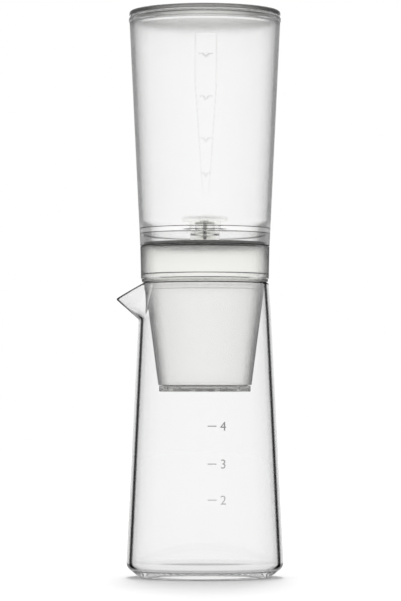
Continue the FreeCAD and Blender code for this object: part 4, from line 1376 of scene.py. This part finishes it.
def build_knob(sizes, acetal):
    """Stepped knob with grip ribs."""
    knob, clip = place_of("regulator_knob"), place_of("knob_retaining_clip")
    step, bore, clip_room = 3.7 * MM, 5.08 * MM, 0.3 * MM
    roof, well, disc_inset = 0.4 * MM, 2.0 * MM, 1 * MM
    edge, drum_radius = sizes.edge, knob.radius - step
    drum_high = place_of("valve_housing").high + SNUG
    room = clip.radius + clip_room
    disc = ribbed(knob.radius, drum_high, knob.high - roof, sizes.knob_ribs, sizes.knob_groove)
    drum = ribbed(drum_radius, knob.low, drum_high, sizes.drum_ribs, sizes.knob_groove)

    def both(radius, level, angle):
        grip = disc if radius > drum_radius + disc_inset else drum
        return grip(radius, level, angle)

    corners = [
        (bore, knob.low, edge),
        (drum_radius, knob.low, edge),
        (drum_radius, drum_high, edge),
        (knob.radius, drum_high, edge),
        (knob.radius, knob.high, edge * 1.6),
        (0, knob.high, 0),
        (0, knob.high - roof, 0),
        (well, knob.high - roof, CRISP),
        (well, drum_high, CRISP),
        (bore, drum_high, CRISP),
        (bore, clip.high + clip_room, CRISP),
        (room, clip.high + clip_room, CRISP),
        (room, clip.low - clip_room, CRISP),
        (bore, clip.low - clip_room, CRISP),
    ]
    piece = turned("regulator_knob_grip", corners, segments=KNOB_TURN, ribs=both)
    settle(piece, "knob", acetal, "regulator_knob", slot="natural_acetal")


def build_housing(acetal):
    """Valve housing and drip tip."""
    housing, tip = place_of("valve_housing"), place_of("drip_tip")
    gasket, clip = place_of("housing_gasket"), place_of("knob_retaining_clip")
    shank, neck, bore, groove_depth = 5.9 * MM, 5.0 * MM, 2.0 * MM, 0.7 * MM
    flange, shank_round, top_round, fine = 1.6 * MM, 0.4 * MM, 0.3 * MM, 0.12 * MM
    tip_bore, flange_top, groove = tip.radius + SNUG, gasket.high + flange, neck - groove_depth
    corners = [
        (tip_bore, housing.low, fine),
        (shank, housing.low, shank_round),
        (shank, gasket.high, fine),
        (housing.radius, gasket.high, fine),
        (housing.radius, flange_top, shank_round),
        (neck, flange_top, fine),
        (neck, clip.low - SNUG, fine),
        (groove, clip.low - SNUG, 0),
        (groove, clip.high + SNUG, 0),
        (neck, clip.high + SNUG, fine),
        (neck, housing.high, top_round),
        (bore, housing.high, fine),
        (bore, tip.high, fine),
        (tip_bore, tip.high, fine),
    ]
    body = turned("valve_body", corners, segments=SMALL_TURN)
    settle(body, "tank", acetal, "valve_housing", slot="natural_acetal")
    orifice, mouth, cone = 0.5 * MM, 1.3 * MM, 2.2 * MM
    corners = [
        (orifice, tip.low, fine),
        (mouth, tip.low, fine),
        (cone, housing.low, fine),
        (tip.radius, housing.low, fine),
        (tip.radius, tip.high, fine),
        (mouth, tip.high, fine),
        (orifice, tip.high - TIP_SEAT, 0),
    ]
    nozzle = turned("drip_nozzle", corners, segments=SMALL_TURN)
    settle(nozzle, "tank", acetal, "drip_tip", slot="natural_acetal")


def build_nut(acetal):
    """Hexagon nut with chamfered corners."""
    nut = place_of("lock_nut")
    flat, chamfer, bore_round = 8.5 * MM, 0.5 * MM, 0.2 * MM
    near_bore = flat * 0.9

    def hexagon(radius, level, angle):
        if radius < near_bore:
            return radius
        limit = flat / math.cos(math.remainder(angle, FULL_TURN / 6))
        from_face = min(level - nut.low, nut.high - level)
        return min(limit, flat / math.cos(math.pi / 6) - max(chamfer - from_face, 0.0) * 2)

    corners = [
        (TANK_HOLE, nut.low, bore_round),
        (nut.radius - chamfer, nut.low, 0),
        (nut.radius, nut.low + chamfer, 0),
        (nut.radius, nut.high - chamfer, 0),
        (nut.radius - chamfer, nut.high, 0),
        (TANK_HOLE, nut.high, bore_round),
    ]
    piece = turned("lock_nut_hexagon", corners, ribs=hexagon)
    piece.data.set_sharp_from_angle(angle=math.radians(28))
    settle(piece, "tank", acetal, "lock_nut", slot="natural_acetal")


def build_needle():
    """Steel needle with its guide, waist, cone and pin."""
    needle, tip = place_of("needle_stem"), place_of("drip_tip")
    pin, waist, guide_length, top_round = 0.4 * MM, 1.2 * MM, 2.2 * MM, 0.3 * MM
    guide = needle.high - guide_length
    corners = [
        (0, needle.low, 0),
        (pin, needle.low, SNUG),
        (pin, tip.high - TIP_SEAT, SNUG),
        (waist, tip.high, SNUG),
        (waist, guide, SNUG),
        (needle.radius, guide, SNUG),
        (needle.radius, needle.high, top_round),
        (0, needle.high, 0),
    ]
    piece = turned("needle_pin", corners, segments=SMALL_TURN)
    steel = satin_steel("stainless_steel_turned", linear("#e4e4e2"), grain_length=3 * MM, roughness=0.45)
    settle(piece, "needle", steel, "needle_stem", slot="pressed_steel")


def build_small_rings():
    """Housing washer, O-ring and snap clip."""
    milky = cured_silicone("silicone_rubber_washer", **MILKY)
    washer = ring("housing_washer", "housing_gasket", wall=2.62 * MM, edge=0.15 * MM)
    settle(washer, "tank", milky, "housing_gasket", slot="silicone_clear")
    cord_ring = place_of("stem_o_ring")
    section = (cord_ring.high - cord_ring.low) / 2
    o_ring = ring("stem_ring", "stem_o_ring", wall=section * 2, edge=section * 0.99)
    settle(o_ring, "tank", milky, "stem_o_ring", slot="silicone_clear")
    steel = satin_steel("spring_steel_clip", linear("#a9a9a7"), grain_length=3 * MM, roughness=0.3)
    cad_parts["knob_retaining_clip"].material_slots[0].material = steel


# ---------------------------------------------------------------- stage

# Light of the world and of each lamp, what the floor adds where the camera sees it, how far forward
# the lamps shine for each metre down, and how often light may pass through glass.
WORLD_LIGHT = 0.62
FLOOR_LIFT = 0.12
LAMP_LIGHT = 0.44
LAMP_SLOPES = (0.2, 0.4, 0.65)
GLASS_BOUNCES = 40


def seen_directly(tree):
    """1 for camera rays and for rays off or through glass and metal, or else 0."""
    path = add_node(tree, "LightPath")
    largest = path.outputs["Is Camera Ray"]
    for name in ("Is Glossy Ray", "Is Transmission Ray"):
        largest = add_node(tree, "Math", {"operation": "MAXIMUM"}, {0: largest, 1: path.outputs[name]})
    return largest


def white_world(settings):
    """World that shows white, and lights diffuse surfaces at a plain level."""
    world = bpy.data.worlds.new("plain_studio")
    world.use_nodes = True
    tree = world.node_tree
    tree.nodes.clear()
    seen = add_node(tree, "Background", {"Color": tuple(settings.backdrop), "Strength": 1.0})
    light = add_node(tree, "Background", {"Color": (1, 1, 1, 1), "Strength": WORLD_LIGHT})
    mix = add_node(tree, "MixShader", {}, {0: seen_directly(tree), 1: light, 2: seen})
    add_node(tree, "OutputWorld", {}, {"Surface": mix})
    bpy.context.scene.world = world


def white_floor(settings):
    """Large pale floor that keeps the shadow and fades into the white behind it."""
    mesh = bmesh.new()
    bmesh.ops.create_circle(mesh, cap_ends=True, radius=6.0, segments=128)
    floor = add_object("floor", mesh_data(mesh, "floor"))
    floor.location.z = -0.1 * MM
    material, tree = new_material("painted_board_matt")
    board = {"Color": tuple(settings.backdrop)}
    shaded = add_node(tree, "BsdfDiffuse", board)
    seen = add_node(tree, "LightPath").outputs["Is Camera Ray"]
    lift = add_node(tree, "Math", {"operation": "MULTIPLY", 1: FLOOR_LIFT}, {0: seen})
    glow = add_node(tree, "Emission", board, {"Strength": lift})
    finished(material, add_node(tree, "AddShader", {}, {0: shaded, 1: glow}))
    floor.data.materials.append(material)


def soft_sun(name, forward):
    """Even lamp behind and above, which shines down and forward by a slope. It lights the floor and
    isn't seen in the glass."""
    lamp = bpy.data.lights.new(name, "SUN")
    lamp.angle = math.radians(12)
    lamp.energy = LAMP_LIGHT
    holder = add_object(name, lamp)
    holder.rotation_euler = Vector((0, -forward, -1)).to_track_quat("-Z", "Y").to_euler()
    holder.visible_transmission = False
    holder.visible_glossy = False


class MAKER_OT_stage(bpy.types.Operator):
    """Camera, floor and plain soft light"""

    bl_idname = "maker.stage"
    bl_label = "Stage"

    def execute(self, context):
        scene = context.scene
        settings = scene.stage_settings
        camera_data = bpy.data.cameras.new("camera")
        camera_data.lens = settings.lens
        camera_data.sensor_width = 36.0
        camera_data.clip_end = 50.0
        camera = add_object("camera", camera_data)
        camera.location = (-settings.aside, -settings.distance, settings.eye_height)
        aim = Vector((-settings.aside, 0.0, settings.aim_height))
        camera.rotation_euler = (aim - camera.location).to_track_quat("-Z", "Y").to_euler()
        scene.camera = camera
        white_world(settings)
        white_floor(settings)
        for number, forward in enumerate(LAMP_SLOPES):
            soft_sun(f"back_lamp_{number}", forward)
        scene.view_settings.view_transform = "Standard"
        scene.cycles.max_bounces = GLASS_BOUNCES
        scene.cycles.transmission_bounces = GLASS_BOUNCES
        scene.cycles.glossy_bounces = GLASS_BOUNCES
        return {"FINISHED"}


# ---------------------------------------------------------------- panel and registration

STEPS = (
    MAKER_OT_stage,
    MAKER_OT_carafe,
    MAKER_OT_basket,
    MAKER_OT_bottom_cap,
    MAKER_OT_filter,
    MAKER_OT_shower_plate,
    MAKER_OT_gaskets,
    MAKER_OT_tank,
    MAKER_OT_lid,
    MAKER_OT_regulator,
)


class MAKER_PT_steps(bpy.types.Panel):
    """Steps that build the coffee maker"""

    bl_idname = "MAKER_PT_steps"
    bl_label = "Coffee maker"
    bl_space_type = "VIEW_3D"
    bl_region_type = "UI"
    bl_category = "Coffee maker"

    def draw(self, context):
        for step in STEPS:
            self.layout.operator(step.bl_idname)
        for name, group in GROUPS:
            box = self.layout.box()
            box.label(text=group.__doc__)
            for field in group.__annotations__:
                box.prop(getattr(context.scene, name), field)


def register():
    for _, group in GROUPS:
        bpy.utils.register_class(group)
    for name, group in GROUPS:
        setattr(bpy.types.Scene, name, bpy.props.PointerProperty(type=group))
    for item in (*STEPS, MAKER_PT_steps):
        bpy.utils.register_class(item)


def unregister():
    for item in reversed((*STEPS, MAKER_PT_steps)):
        bpy.utils.unregister_class(item)
    for name, group in reversed(GROUPS):
        delattr(bpy.types.Scene, name)
        bpy.utils.unregister_class(group)


def main():
    """Register the tools and build everything."""
    register()
    for step in STEPS:
        group, name = step.bl_idname.split(".")
        getattr(getattr(bpy.ops, group), name)()


if __name__ == "__main__":
    main()
